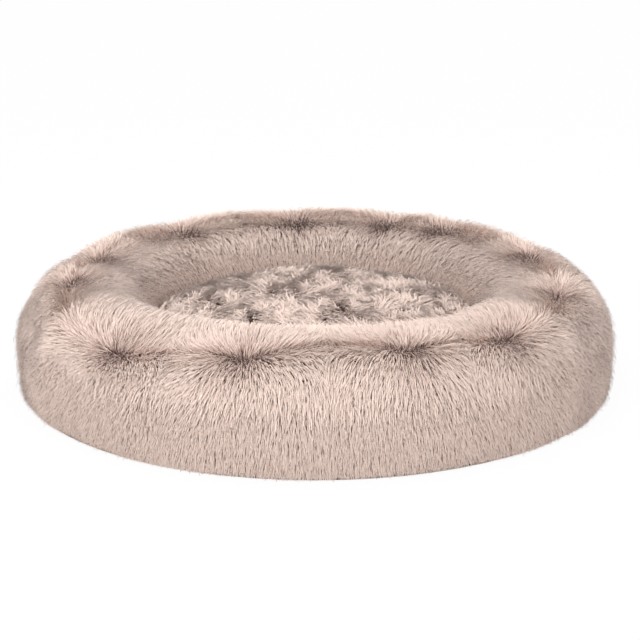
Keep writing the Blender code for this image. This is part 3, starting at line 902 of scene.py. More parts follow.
def lay_locks(name, lock, strands):
    """Copies a lock along each of the strands.

    The light falls on it partly as on the coat as a whole, so that the pile looks soft.
    """
    shape, faces = lock
    place, way = strands.along(shape[:, 2][None, :, None])
    side = unit(np.cross(way, np.broadcast_to(strands.out, way.shape)))
    up = np.cross(way, side)
    spread = side * shape[:, 0][None, :, None] + up * shape[:, 1][None, :, None] * strands.flatness
    places = place + spread * strands.width / 2
    places[..., 2] = np.maximum(pressed_down(places[..., 2]), FLOOR_CLEARANCE)
    normals = unit(strands.light_share * strands.out + (1 - strands.light_share) * unit(spread))
    count, corners = places.shape[:2]
    all_faces = faces[None] + (np.arange(count) * corners)[:, None, None]
    turn = np.arctan2(shape[:, 1], shape[:, 0]) / FULL_TURN * COLUMN_FILL_SHARE
    inside = np.where(np.hypot(shape[:, 0], shape[:, 1]) < CORE_SHARE, 0.0, turn)
    across = (strands.column + 0.5 + inside[None, :]) / SHADE_COLUMNS
    along = SHADE_ROW_EDGE + (1 - 2 * SHADE_ROW_EDGE) * shape[:, 2][None, :] ** strands.root_share
    shade_map = np.stack([across, along], axis=-1).reshape(-1, 2)
    return mesh_piece(
        name, places.reshape(-1, 3), all_faces.reshape(-1, 3), shade_map, normals.reshape(-1, 3)
    )


def scatter(cells_a, cells_b, seed):
    """A number from 0 to 1 for each cell of a grid, the same for all that lies in it."""
    way_a, way_b, way_seed = SCATTER_WAYS
    mixed = np.sin(cells_a * way_a + cells_b * way_b + seed * way_seed) * SCATTER_SCALE
    return mixed - np.floor(mixed)


def in_cell(cells, chance):
    """A place in each cell, clear of its edges by chance."""
    return cells + CELL_EDGE + (1 - 2 * CELL_EDGE) * chance


def ring_comb(angle, run, place, seed, habit):
    """How far the pile turns from straight down: away from the nearest gather, with soft swirls."""
    offset, share = from_gather(angle)
    side = np.cos(QUARTER_TURN * share) ** COMB_FOCUS
    aside = offset * SEAM_RADIUS * side * habit.at("combing", angle)
    parted = habit.from_parting(angle, run)
    way = np.where(parted < 0, -1.0, 1.0)
    away = np.abs(parted)
    burst = np.arctan2(aside * np.exp(-away / COMB_FADE), way * (away + COMB_ROUNDING))
    swirl = SWIRL_TURN * waves(place, SWIRL_SIZE, seed) + CURL_TURN * waves(place, CURL_SIZE, seed + 1)
    return burst + swirl


def comb_ring(field, angle, run, seed, length, draw, coat, habit):
    """Where the tips of the ring's locks come to, bunched into tufts, and the shade of each tuft."""
    count = len(angle)
    place = field.at(angle, run)[0]
    stray = coat.stray * habit.at("straying", angle)
    turn = ring_comb(angle, run, place, seed, habit) + draw.normal(size=count) * stray
    tip_angle, tip_run = field.moved(angle, run, length * np.cos(turn), length * np.sin(turn))
    cell_a = np.floor(angle * SEAM_RADIUS / coat.bunch)
    cell_b = np.floor(run / coat.bunch)
    centre_angle = in_cell(cell_a, scatter(cell_a, cell_b, seed)) * coat.bunch / SEAM_RADIUS
    centre_run = in_cell(cell_b, scatter(cell_a, cell_b, seed + 1)) * coat.bunch
    centre_place = field.at(centre_angle, centre_run)[0]
    tuft_turn = ring_comb(centre_angle, centre_run, centre_place, seed, habit)
    tuft_turn = tuft_turn + TUFT_TURN * (scatter(cell_a, cell_b, seed + 2) - 0.5)
    reach = length.mean() * (TUFT_REACH + TUFT_REACH_SPREAD * scatter(cell_a, cell_b, seed + 3))
    tuft_angle, tuft_run = field.moved(
        centre_angle, centre_run, reach * np.cos(tuft_turn), reach * np.sin(tuft_turn)
    )
    share = coat.clump * draw.uniform(*CLUMP_SPREAD, size=count) * habit.at("clumping", angle)
    tip_angle = tip_angle * (1 - share) + tuft_angle * share
    tip_run = tip_run * (1 - share) + tuft_run * share
    return tip_angle, np.maximum(tip_run, 0), scatter(cell_a, cell_b, seed + 4)


class Coat:
    """The sizes of one coat of fur. low and high bound its layer, as shares of the pile's depth.

    gap_share is how many of its locks are thin and dark, painted shade in the gaps with the dark of the
    roots.
    tone is added to its shade. start is how high its roots are, as a share of the height of its tips.
    gathered_share of it grows only near the gathers.
    """

    def __init__(self, lock, length, width, low, high, bunch=0.011, clump=0.4, stray=0.14, **others):
        self.lock = lock
        self.length = length
        self.width = width
        self.low = low
        self.high = high
        self.bunch = bunch
        self.clump = clump
        self.stray = stray
        self.gap_share = others.get("gap_share", 0.0)
        self.tone = others.get("tone", 0.0)
        self.start = others.get("start", 0.0)
        self.gathered_share = others.get("gathered_share", 0.0)


class Habit:
    """How the fur of one part of the ring lies, as pairs of its values at the front and at the back.

    standing lifts the tips near the seam, as a share of the pile's depth, and flattening lowers them there.
    baring is how much of their dark roots the locks show near the gathers, and how much painted shade they
    take there. brightening is painted light added to their shade, most at the back, where the crest and the
    inner wall lie in shade. The others multiply how far locks stray, how closely they clump, how many are
    dark, how long they are and how far the gathers comb them aside. rooting is how far up from their roots
    the locks are dark.
    parting_run is how far below the seam the pile parts, and loft_run how far below it the locks catch the
    light singly.
    """

    def __init__(self, **pairs):
        self.pairs = pairs

    def at(self, name, angles):
        """One of the values at each angle."""
        front, back = self.pairs[name]
        return back + (front - back) * facing_front(angles)

    def from_parting(self, angles, runs):
        """How far below the line where the pile parts each run is. Above it, the pile points at the seam."""
        return runs - self.at("parting_run", angles)


# Each part's brightening is painted light, most on the back of the outer crest and the inner wall, which lie
# in shade; the outer coat's low rooting at the back lightens its crest the same way, as painted light
HABITS = {
    "outer": Habit(
        standing=(0.3, 1.2),
        flattening=(0.0, 0.0),
        baring_and_painted_shade=(1.0, 0.4),
        painted_light=(0.03, 0.34),
        straying=(1.0, 1.5),
        clumping=(1.0, 1.2),
        parting=(1.0, 0.8),
        lengthening=(1.0, 1.0),
        rooting=(0.6, 0.25),
        combing=(1.0, 1.0),
        parting_run=(0.0, 0.0),
        loft_run=(0.035, 0.05),
    ),
    "inner": Habit(
        standing=(0.8, 0.5),
        flattening=(0.0, 0.1),
        baring_and_painted_shade=(0.35, 1.7),
        painted_light=(0.03, 0.14),
        straying=(1.0, 2.2),
        clumping=(1.0, 2.3),
        parting=(0.8, 3.2),
        lengthening=(1.0, 1.45),
        rooting=(0.5, 0.6),
        combing=(1.0, 0.35),
        parting_run=(0.0, 0.020),
        loft_run=(0.035, 0.10),
    ),
}


def bared_and_painted_shade(angle, run, habit):
    """How near the pile is to a gather, where it bursts apart and shows its dark roots, and where its locks
    take painted shade.
    """
    offset, _ = from_gather(angle)
    down = (habit.from_parting(angle, run) - BURST_DROP) * BURST_STRETCH
    aside = offset * SEAM_RADIUS * BURST_NARROWNESS
    return np.exp(-(np.hypot(down, aside) / BURST_REACH) ** 2) * habit.at("baring_and_painted_shade", angle)


def pile_depth(angle, run, habit):
    """How deep the pile is. The gathers pull it thin, and it lies flatter where its habit says so."""
    offset, _ = from_gather(angle)
    close = np.exp(-((offset * SEAM_RADIUS / GATHER_PILE_REACH) ** 2))
    near = close * (1 - smooth_step(run / GATHER_PILE_RUN))
    flat = habit.at("flattening", angle) * (1 - smooth_step((run - FLAT_START) / FLAT_FADE))
    return PILE_DEPTH * (1 - (1 - GATHER_PILE_SHARE) * near) * (1 - flat)


def lay_ring_coat(name, field, coat, count, seed, span, density, habit):
    """One coat of fur on a part of the ring. density gives how dense its roots are at each run."""
    draw = np.random.default_rng(seed)
    angle, run = field.spots(count, seed, *span, density)
    burst = bared_and_painted_shade(angle, run, habit)
    if coat.gathered_share:
        keep = draw.uniform(size=count) > coat.gathered_share * (1 - burst)
        angle, run, burst = angle[keep], run[keep], burst[keep]
        count = len(angle)
    lower = smooth_step(run / LOWER_WALL_RUN)
    longer = 1 + SEAM_LENGTHENING * np.exp(-run / STAND_RUN)
    length = coat.length * draw.uniform(*LENGTH_SPREAD, size=count) * longer
    length = length * habit.at("lengthening", angle)
    length = np.minimum(length, LEAST_LENGTH + np.maximum(field.length - run, 0))
    tip_angle, tip_run, tuft = comb_ring(field, angle, run, seed, length, draw, coat, habit)

    layer = draw.uniform(coat.low, coat.high, size=count)
    stand = habit.at("standing", angle) * np.exp(-np.abs(habit.from_parting(angle, run)) / STAND_RUN)
    height = layer * (pile_depth(angle, run, habit) + PILE_DEPTH * stand)
    fringe = smooth_step((tip_run - field.length + FRINGE_RUN) / FRINGE_RUN)
    height = np.maximum(height, FRINGE_STAND * fringe)
    place, out, _, _ = field.at(angle, run)
    middle_angle = angle + (tip_angle - angle) * BEND_SHARE
    middle_run = run + (tip_run - run) * BEND_SHARE
    middle, middle_out, _, _ = field.at(middle_angle, middle_run)
    tip, tip_out, tip_down, _ = field.at(tip_angle, tip_run)
    tip = tip + tip_down * np.clip(tip_run - field.length, 0, FRINGE_REACH)[:, None]
    root = place + out * (height * coat.start - ROOT_DEPTH)[:, None]
    middle = middle + middle_out * (height * BEND_HEIGHT)[:, None]
    tip = tip + tip_out * (height * draw.uniform(*TIP_SPREAD, size=count))[:, None]

    width = coat.width * draw.uniform(*WIDTH_SPREAD, size=count)
    bare_share = 1 + GAP_AT_BURST * burst - GAP_LOW_WALL_LOSS * lower
    # A gap lock is thin and dark: painted shade where the pile opens, with the dark of the roots
    gap = draw.uniform(size=count) < coat.gap_share * bare_share * habit.at("parting", angle)
    width = width * np.where(gap, GAP_WIDTH_SHARE, 1.0)
    # Painted shade darkens locks deep in the pile and in a burst; painted light lightens them low on the wall
    # and, by the habit's brightening, on the back of the crest and the inner wall
    shade = SHADE_BASE + LAYER_PAINTED_SHADE * (layer - coat.low) / (coat.high - coat.low) + TUFT_SHADE * (tuft - 0.5)
    shade = shade + draw.normal(scale=CHANCE_SHADE, size=count) + LOW_WALL_PAINTED_LIGHT * lower - BURST_PAINTED_SHADE * burst
    shade = shade - gap * (GAP_ROOTS_AND_PAINTED_SHADE + GAP_BURST_PAINTED_SHADE * burst - GAP_LOW_WALL_PAINTED_LIGHT * lower)
    shade = shade + coat.tone * (1 - LOW_WALL_TONE_LOSS * lower) + habit.at("painted_light", angle)
    root_share = habit.at("rooting", angle) + BURST_ROOTING * burst
    loft = np.exp(-((run / habit.at("loft_run", angle)) ** 2))
    light_share = COAT_LIGHT_SHARE * (1 - STANDING_LIGHT_SHARE * loft)
    strands = Strands(root, middle, tip, out, width, LOCK_FLATNESS, shade, root_share, light_share)
    return lay_locks(name, coat.lock, strands)


def upper_density(runs):
    """The long coat covers the top of the ring, and thins out down its walls."""
    return 1 - smooth_step((runs - UPPER_END) / COAT_FADE)


def lower_density(runs):
    """The fine coat takes over where the long one thins out."""
    return LEAST_FINE_SHARE + smooth_step((runs - LOWER_START) / COAT_FADE)


def gap_density(runs):
    """Dark gaps show between the locks, most of them where the pile parts."""
    return LEAST_GAP_SHARE + (1 - LEAST_GAP_SHARE) * np.exp(-runs / GAP_RUN)


def crest_density(runs):
    """Fuzz is thickest on the crest and thin on the walls."""
    return LEAST_FUZZ_SHARE + np.exp(-(((runs - FUZZ_CREST_RUN) / FUZZ_CREST_RUN) ** 2))


def lay_centre_coat(name, field, coat, count, seed):
    """One coat of fur on the centre, in short swirling tufts."""
    draw = np.random.default_rng(seed)
    across, deep = field.spots(count, seed)
    flat = np.stack([across, deep, np.zeros(count)], axis=-1)
    cell_a = np.floor(across / coat.bunch)
    cell_b = np.floor(deep / coat.bunch)
    turn = sum(amount * waves(flat, size, swirl) for amount, size, swirl in CENTRE_SWIRLS)
    turn = turn + CENTRE_TUFT_TURN * (scatter(cell_a, cell_b, seed) - 0.5)
    turn = turn + draw.normal(scale=CENTRE_STRAY, size=count)
    length = coat.length * draw.uniform(*CENTRE_LENGTH_SPREAD, size=count)
    tip_a, tip_b = field.moved(across, deep, -length * np.cos(turn), length * np.sin(turn))
    knot_a = in_cell(cell_a, scatter(cell_a, cell_b, seed + 1)) * coat.bunch
    knot_b = in_cell(cell_b, scatter(cell_a, cell_b, seed + 2)) * coat.bunch
    tip_a = tip_a + (knot_a - across) * coat.clump
    tip_b = tip_b + (knot_b - deep) * coat.clump

    layer = draw.uniform(coat.low, coat.high, size=count)
    height = PILE_DEPTH * layer
    place, out, _, _ = field.at(across, deep)
    middle, middle_out, _, _ = field.at(
        across + (tip_a - across) * CENTRE_BEND_SHARE, deep + (tip_b - deep) * CENTRE_BEND_SHARE
    )
    tip, tip_out, _, _ = field.at(tip_a, tip_b)
    root = place - out * ROOT_DEPTH
    middle = middle + middle_out * (height * CENTRE_BEND_HEIGHT)[:, None]
    tip = tip + tip_out * (height * draw.uniform(*CENTRE_TIP_SPREAD, size=count))[:, None]

    width = coat.width * draw.uniform(*CENTRE_WIDTH_SPREAD, size=count)
    gap = draw.uniform(size=count) < coat.gap_share
    # Painted shade darkens the deeper locks and any gap lock, and CENTRE_SHADE_WITH_PAINTED_LIGHT sets them
    # lighter than the ring's, as painted light
    shade = CENTRE_SHADE_WITH_PAINTED_LIGHT + CENTRE_LAYER_PAINTED_SHADE * (layer - coat.low) / (coat.high - coat.low)
    shade = shade - CENTRE_GAP_ROOTS_AND_PAINTED_SHADE * gap + CENTRE_TUFT_SHADE * (scatter(cell_a, cell_b, seed + 3) - 0.5)
    shade = shade + draw.normal(scale=CENTRE_CHANCE_SHADE, size=count)
    strands = Strands(
        root, middle, tip, out, width, LOCK_FLATNESS, shade, np.full(count, CENTRE_ROOTING)
    )
    return lay_locks(name, coat.lock, strands)


def add_node(tree, kind, feeds=None, values=None, **options):
    """A node of one kind. feeds are the sockets linked to its inputs, and values their plain values."""
    node = tree.nodes.new("ShaderNode" + kind)
    for name, value in options.items():
        setattr(node, name, value)
    for name, value in (values or {}).items():
        node.inputs[name].default_value = value
    for name, source in (feeds or {}).items():
        tree.links.new(source, node.inputs[name])
    return node


def empty_material(name):
    """A material with no nodes, and its tree."""
    material = bpy.data.materials.new(name)
    material.use_nodes = True
    material.node_tree.nodes.clear()
    return material, material.node_tree


def new_material(name):
    """A material that has only its Principled BSDF, its tree and that shader."""
    material, tree = empty_material(name)
    shader = add_node(tree, "BsdfPrincipled")
    add_node(tree, "OutputMaterial", {"Surface": shader.outputs["BSDF"]})
    return material, tree, shader


def colour_ramp(tree, factor, stops):
    """A colour ramp on a factor. Each stop is a place and a colour."""
    ramp = add_node(tree, "ValToRGB", {"Fac": factor})
    elements = ramp.color_ramp.elements
    while len(elements) < len(stops):
        elements.new(0.5)
    for element, (place, colour) in zip(elements, stops):
        element.position = place
        element.color = (*colour, 1.0)
    return ramp.outputs["Color"]


def mottle(tree, colour, darker, lighter, scale, detail=2.0):
    """A colour that varies softly over the piece, and the noise that varies it."""
    place = add_node(tree, "TexCoord").outputs["Object"]
    noise = add_node(tree, "TexNoise", {"Vector": place}, {"Scale": scale, "Detail": detail}).outputs["Fac"]
    base = Vector(colour)
    return colour_ramp(tree, noise, [(0.3, base * darker), (0.7, base * lighter)]), noise


def fur_material():
    """Fur that is dark at its roots and pale at its tips, with a shade for each lock: random tone, painted
    light and painted shade.
    """
    settings = fur_settings()
    material, tree, shader = new_material("long_fur")
    shade_map = add_node(tree, "UVMap", uv_map=SHADE_MAP)
    split = add_node(tree, "SeparateXYZ", {"Vector": shade_map.outputs["UV"]})
    stops = [
        (0.0, settings.root_colour),
        (0.22, settings.root_colour),
        (0.45, settings.middle_colour),
        (0.85, settings.tip_colour),
    ]
    along = colour_ramp(tree, split.outputs["Y"], stops)
    shade = colour_ramp(tree, split.outputs["X"], FUR_SHADES)
    colour = add_node(tree, "VectorMath", {0: along, 1: shade}, operation="MULTIPLY")
    tree.links.new(colour.outputs["Vector"], shader.inputs["Base Color"])
    shader.inputs["Roughness"].default_value = 0.75
    shader.inputs["Specular IOR Level"].default_value = 0.12
    return material


def skin_material():
    """The knitted backing between the roots."""
    material, tree, shader = new_material("fur_backing")
    colour, _ = mottle(tree, fur_settings().skin_colour, 0.7, 1.35, 900.0)
    tree.links.new(colour, shader.inputs["Base Color"])
    shader.inputs["Roughness"].default_value = 0.9
    return material


def woven_material(name, colour, thread, contrast, bump_depth):
    """A woven cloth, with threads of the given width."""
    material, tree, shader = new_material(name)
    place = add_node(tree, "TexCoord").outputs["Object"]
    weave = {"Scale": 1 / (thread * WEAVE_PITCH), "Distortion": 0.6, "Detail": 1.0}
    threads = [
        add_node(tree, "TexWave", {"Vector": place}, weave, bands_direction=direction).outputs["Fac"]
        for direction in ("X", "Y", "Z")
    ]
    total = threads[0]
    for other in threads[1:]:
        total = add_node(tree, "Math", {0: total, 1: other}, operation="MAXIMUM").outputs["Value"]
    noise = add_node(tree, "TexNoise", {"Vector": place}, {"Scale": 60.0, "Detail": 4.0})
    mixed = add_node(tree, "Math", {0: total, 1: noise.outputs["Fac"]}, operation="MULTIPLY")
    base = Vector(colour)
    stops = [(0.15, base * (1 - contrast)), (0.65, base * (1 + contrast))]
    tree.links.new(colour_ramp(tree, mixed.outputs["Value"], stops), shader.inputs["Base Color"])
    bump = add_node(tree, "Bump", {"Height": total}, {"Strength": 0.5, "Distance": bump_depth})
    tree.links.new(bump.outputs["Normal"], shader.inputs["Normal"])
    shader.inputs["Roughness"].default_value = 0.85
    return material


def metal_material(colour):
    """Satin nickel with faint rub marks."""
    material, tree, shader = new_material("zip_nickel")
    tint, noise = mottle(tree, colour, 0.85, 1.1, 700.0, 5.0)
    tree.links.new(tint, shader.inputs["Base Color"])
    rough = add_node(tree, "MapRange", {"Value": noise}, {"To Min": 0.25, "To Max": 0.5})
    tree.links.new(rough.outputs["Result"], shader.inputs["Roughness"])
    shader.inputs["Metallic"].default_value = 1.0
    return material


def spotted_material(name, colour, size, contrast, roughness, bump_depth=0.0):
    """A plain stuff with soft mottling, such as fibre, rubber or nylon."""
    material, tree, shader = new_material(name)
    tint, noise = mottle(tree, colour, 1 - contrast, 1 + contrast, 1 / size, 6.0)
    tree.links.new(tint, shader.inputs["Base Color"])
    if bump_depth:
        bump = add_node(tree, "Bump", {"Height": noise}, {"Distance": bump_depth})
        tree.links.new(bump.outputs["Normal"], shader.inputs["Normal"])
    shader.inputs["Roughness"].default_value = roughness
    return material


def side_span(side):
    """The angles at which a side of the cover starts and ends."""
    start = FIRST_SEAM_ANGLE + SIDES.index(side) * QUARTER_TURN
    return start, start + QUARTER_TURN


def skin_piece(name, places):
    """A sheet of a part of the ring, modelled from its rows of places."""
    index = np.arange(places.shape[0] * places.shape[1]).reshape(places.shape[:2])
    corners = [index[:-1, :-1], index[1:, :-1], index[1:, 1:], index[:-1, 1:]]
    first = np.stack([corners[0], corners[1], corners[2]], axis=-1).reshape(-1, 3)
    second = np.stack([corners[0], corners[2], corners[3]], axis=-1).reshape(-1, 3)
    return mesh_piece(name, places.reshape(-1, 3), np.concatenate([first, second]))


def pad(skin, material, node, turned=False):
    """Makes a skin a padded piece in place of its node. Its faces are turned over first if need be."""
    open_whole(skin)
    if turned:
        bpy.ops.mesh.flip_normals()
    close_edit()
    thicken(skin, SKIN_THICKNESS, -1.0)
    finish_piece(skin, skin.name, material, [node])


def fur_span(side):
    """The angles between which a side's outer fur grows. The left and right lap over the zip's ends."""
    start, end = side_span(side)
    return start - ZIP_END_LAP * (side == "left"), end + ZIP_END_LAP * (side == "right")


def table_angles(side):
    """The angles of a side's table, which reaches past both of its ends, as the locks rooted there do."""
    start, end = side_span(side)
    return np.linspace(start - TABLE_MARGIN, end + TABLE_MARGIN, TABLE_TURNS // len(SIDES) + 1)


def outer_field(side):
    """The table of the ring's outside. The back of it ends at the hem over the zip."""
    foot = HEM_HEIGHT if side == "back" else FOOT_HEIGHT
    angles = table_angles(side)
    return RingField(outer_places(angles, foot, TABLE_STEPS), angles[0], angles[-1], True)


def inner_field(side):
    """The table of the ring's inside."""
    angles = table_angles(side)
    return RingField(inner_places(angles, TABLE_STEPS), angles[0], angles[-1], False)


class PETBED_OT_ring_cover(Operator):
    """Adds the padded skins of the ring, four outside and four inside"""

    bl_idname = "pet_bed.ring_cover"
    bl_label = "Ring cover"

    def execute(self, context):
        material = skin_material()
        for side in SIDES:
            start, end = side_span(side)
            angles = np.linspace(start, end, SKIN_STEPS + 1)
            foot = HEM_HEIGHT if side == "back" else FOOT_HEIGHT
            outer = skin_piece("ring_outer_skin_" + side, outer_places(angles, foot, SKIN_STEPS))
            pad(outer, material, "outer_fur_" + side, turned=True)
            inner = skin_piece("ring_inner_skin_" + side, inner_places(angles, SKIN_STEPS))
            pad(inner, material, "inner_fur_" + side)
        return {"FINISHED"}


class PETBED_OT_seam_tape(Operator):
    """Adds the ruffled tape that binds the gathers under the seam"""

    bl_idname = "pet_bed.seam_tape"
    bl_label = "Seam tape"

    def execute(self, context):
        angles = np.linspace(0, FULL_TURN, 2 * TAPE_RUFFLES + 1)
        ruffle = TAPE_RUFFLE_DEPTH * np.sin(angles * TAPE_RUFFLES)
        top = BED_HEIGHT - SEAM_DROP - TAPE_DROP
        rows = []
        for height in np.linspace(top, top - TAPE_WIDTH, TAPE_ROWS):
            sway = ruffle * (top - height) / TAPE_WIDTH
            radius = SEAM_RADIUS + sway
            row = np.stack([radius * np.cos(angles), radius * np.sin(angles), np.full_like(angles, height)])
            rows.append(drawn_in(row.T))
        tape = skin_piece("gather_tape_ruffled", np.stack(rows, axis=1))
        open_whole(tape)
        bpy.ops.mesh.remove_doubles(threshold=TAPE_MERGE)
        bpy.ops.mesh.normals_make_consistent(inside=False)
        close_edit()
        thicken(tape, TAPE_THICKNESS, 0.0)
        binding = woven_material("seam_binding", trim_settings().tape_colour, 0.0009, 0.25, 0.0002)
        finish_piece(tape, tape.name, binding, ["gather_tape"])
        return {"FINISHED"}


class PETBED_OT_centre_cover(Operator):
    """Adds the padded skin of the centre cushion"""

    bl_idname = "pet_bed.centre_cover"
    bl_label = "Centre cover"

    def execute(self, context):
        field = CrownField()
        rings = np.linspace(0, 1, CENTRE_RINGS + 1)[1:] ** CENTRE_RING_POWER * field.radius
        turns = np.linspace(0, FULL_TURN, CENTRE_TURNS + 1)[:-1]
        across = np.outer(rings, np.cos(turns)).ravel()
        deep = np.outer(rings, np.sin(turns)).ravel()
        places = np.stack([across, deep, field.height(across, deep)], axis=-1)
        top = np.array([[0.0, 0.0, float(field.height(np.zeros(1), np.zeros(1))[0])]])
        places = np.concatenate([top, places])
        index = 1 + np.arange(len(rings) * len(turns)).reshape(len(rings), len(turns))
        after = np.roll(index, -1, axis=1)
        fan = np.stack([np.zeros_like(index[0]), index[0], after[0]], axis=-1)
        low = np.stack([index[:-1], index[1:], after[1:]], axis=-1).reshape(-1, 3)
        high = np.stack([index[:-1], after[1:], after[:-1]], axis=-1).reshape(-1, 3)
        skin = mesh_piece("centre_skin", places, np.concatenate([fan, low, high]))
        pad(skin, skin_material(), "centre_fur")
        return {"FINISHED"}


class PETBED_OT_ring_fur(Operator):
    """Adds the ring's long coat, fine coat and undercoat, and the thin dark locks between theirs, painted
    shade in the gaps
    """

    bl_idname = "pet_bed.ring_fur"
    bl_label = "Ring fur"

    def execute(self, context):
        settings = fur_settings()
        material = fur_material()
        length, width = settings.pile_length, settings.lock_width
        lock = model_lock("lock", 0.38)
        spike = model_lock("spike", 0.0)
        sliver = model_lock("sliver", 0.45)
        coats = {
            "long": Coat(lock, length * 0.46, width * 0.66, 0.55, 1.15, clump=0.3, gap_share=0.12),
            "fine": Coat(spike, length * 0.36, width * 0.66, 0.5, 1.0, clump=0.2, gap_share=0.08),
            "under": Coat(spike, length * 0.5, width * 1.2, 0.15, 0.62, bunch=0.009, clump=0.3),
            "gap": Coat(sliver, length * 0.30, width * 0.40, 0.95, 1.2, clump=0.1, **GAP_HABITS),
        }
        densities = {
            "long": (settings.coat_density, upper_density),
            "fine": (settings.fine_density, lower_density),
            "under": (settings.undercoat_density, None),
            "gap": (settings.gap_density, gap_density),
        }
        for number, side in enumerate(SIDES):
            for part, field in (("outer", outer_field(side)), ("inner", inner_field(side))):
                span = fur_span(side) if part == "outer" else side_span(side)
                for order, (kind, coat) in enumerate(coats.items()):
                    thickest, density = densities[kind]
                    share = field.share(density) if density else 1.0
                    count = int(field.area * share * thickest)
                    seed = SIDE_SEEDS * number + PART_SEEDS[part] + 2 * order
                    name = f"{part}_{kind}_coat_{side}"
                    fur = lay_ring_coat(name, field, coat, count, seed, span, density, HABITS[part])
                    finish_piece(fur, name, material)
        return {"FINISHED"}


class PETBED_OT_centre_fur(Operator):
    """Adds the undercoat and the long coat of the centre"""

    bl_idname = "pet_bed.centre_fur"
    bl_label = "Centre fur"

    def execute(self, context):
        settings = fur_settings()
        material = bpy.data.materials["long_fur"]
        length, width = settings.pile_length, settings.lock_width
        field = CrownField()
        short_lock = model_lock("short_lock", 0.42)
        spike = model_lock("spike", 0.0)
        coats = {
            "centre_long_coat": Coat(short_lock, length * 0.8, width, 0.5, 1.3, 0.013, 0.3),
            "centre_under_coat": Coat(spike, length * 0.5, width * 1.5, 0.2, 0.8, 0.010, 0.3),
        }
        for seed, (name, coat) in enumerate(coats.items(), CENTRE_SEED):
            fur = lay_centre_coat(name, field, coat, CENTRE_LOCKS[name], seed)
            finish_piece(fur, name, material)
        return {"FINISHED"}


class PETBED_OT_fuzz(Operator):
    """Adds the single hairs that stand out of the coat, longest along the back of the ring's crest"""

    bl_idname = "pet_bed.fuzz"
    bl_label = "Fuzz"

    def execute(self, context):
        settings = fur_settings()
        material = bpy.data.materials["long_fur"]
        spike = model_lock("hair", 0.0)
        for number, side in enumerate(SIDES):
            span = side_span(side)
            for part, field in (("outer", outer_field(side)), ("inner", inner_field(side))):
                seed = FUZZ_SEED + 2 * number + (part == "inner")
                draw = np.random.default_rng(seed)
                count = settings.fuzz_count // (2 * len(SIDES))
                angle, run = field.spots(count, seed, *span, crest_density)
                back = 1 - facing_front(angle)
                place, out, along, across = field.at(angle, run)
                longest = FUZZ_REACH + FUZZ_BACK_REACH * np.exp(-run / FUZZ_BACK_RUN) * back
                reach = draw.uniform(*FUZZ_REACH_SPREAD, size=count) * longest
                lean_a, lean_b = (draw.normal(scale=FUZZ_STRAY, size=count) for _ in range(2))
                way = unit(out + along * (FUZZ_LEAN + lean_a)[:, None] + across * lean_b[:, None])
                root = place + out * (PILE_DEPTH * FUZZ_ROOT_SHARE)
                tip = root + way * reach[:, None]
                middle = (root + tip) / 2 + out * (reach * FUZZ_BEND_SHARE)[:, None]
                width = draw.uniform(*FUZZ_WIDTHS, size=count)
                shade = draw.uniform(*FUZZ_SHADES, size=count)
                name = f"{part}_fuzz_{side}"
                fur = lay_locks(name, spike, Strands(root, middle, tip, out, width, 1.0, shade))
                finish_piece(fur, name, material)
        return {"FINISHED"}


def model_coil_turn(half_width, half_depth, pitch):
    """One turn of a nylon coil, wound round the line that the coil follows, and leaning by its pitch."""
    deselect_all()
    bpy.ops.mesh.primitive_torus_add(
        major_radius=half_width - COIL_WIRE_RADIUS,
        minor_radius=COIL_WIRE_RADIUS,
        major_segments=8,
        minor_segments=3,
        rotation=(0, QUARTER_TURN, 0),
    )
    turn = bpy.context.object
    apply_place(turn)
    open_whole(turn)
    deeper = (half_depth - COIL_WIRE_RADIUS) / (half_width - COIL_WIRE_RADIUS)
    bpy.ops.transform.resize(value=(1, deeper, 1))
    close_edit()
    places, faces = taken(turn)
    places[:, 0] += places[:, 1] / half_depth * pitch / 4
    return places, faces


def model_stitch(length):
    """One stitch: a rod of thread whose ends dive into the cloth. It lies along X, on cloth that faces Y."""
    deselect_all()
    bpy.ops.mesh.primitive_cylinder_add(
        vertices=6, radius=THREAD_RADIUS, depth=length * STITCH_FLAT_SHARE, rotation=(0, QUARTER_TURN, 0)
    )
    stitch = bpy.context.object
    apply_place(stitch)
    for end in (-1, 1):
        open_facing(stitch, Vector((end, 0, 0)))
        move = (end * length * (1 - STITCH_FLAT_SHARE) / 2, -2 * THREAD_RADIUS, 0)
        bpy.ops.mesh.extrude_region_move(TRANSFORM_OT_translate={"value": move})
        bpy.ops.transform.resize(value=(1, 0.5, 0.5))
        close_edit()
    return taken(stitch)


def model_grip_dot():
    """One rubber dot with a rounded rim, proud of the underside."""
    deselect_all()
    bpy.ops.mesh.primitive_cone_add(
        vertices=8,
        radius1=GRIP_RADIUS - GRIP_RIM,
        radius2=GRIP_RADIUS,
        depth=GRIP_PROUD,
        location=(0, 0, -GRIP_PROUD / 2),
    )
    dot = bpy.context.object
    apply_place(dot)
    open_facing(dot, Vector((0, 0, 1)))
    bpy.ops.mesh.extrude_region_move(TRANSFORM_OT_translate={"value": (0, 0, GRIP_ROOT)})
    close_edit()
    return taken(dot)


def zip_reach(node):
    """The angles at which a strip of the zip starts and ends, from the box that holds it."""
    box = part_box(node)
    end = math.acos(box[1].x / box[1].y)
    return end, FULL_TURN / 2 - end


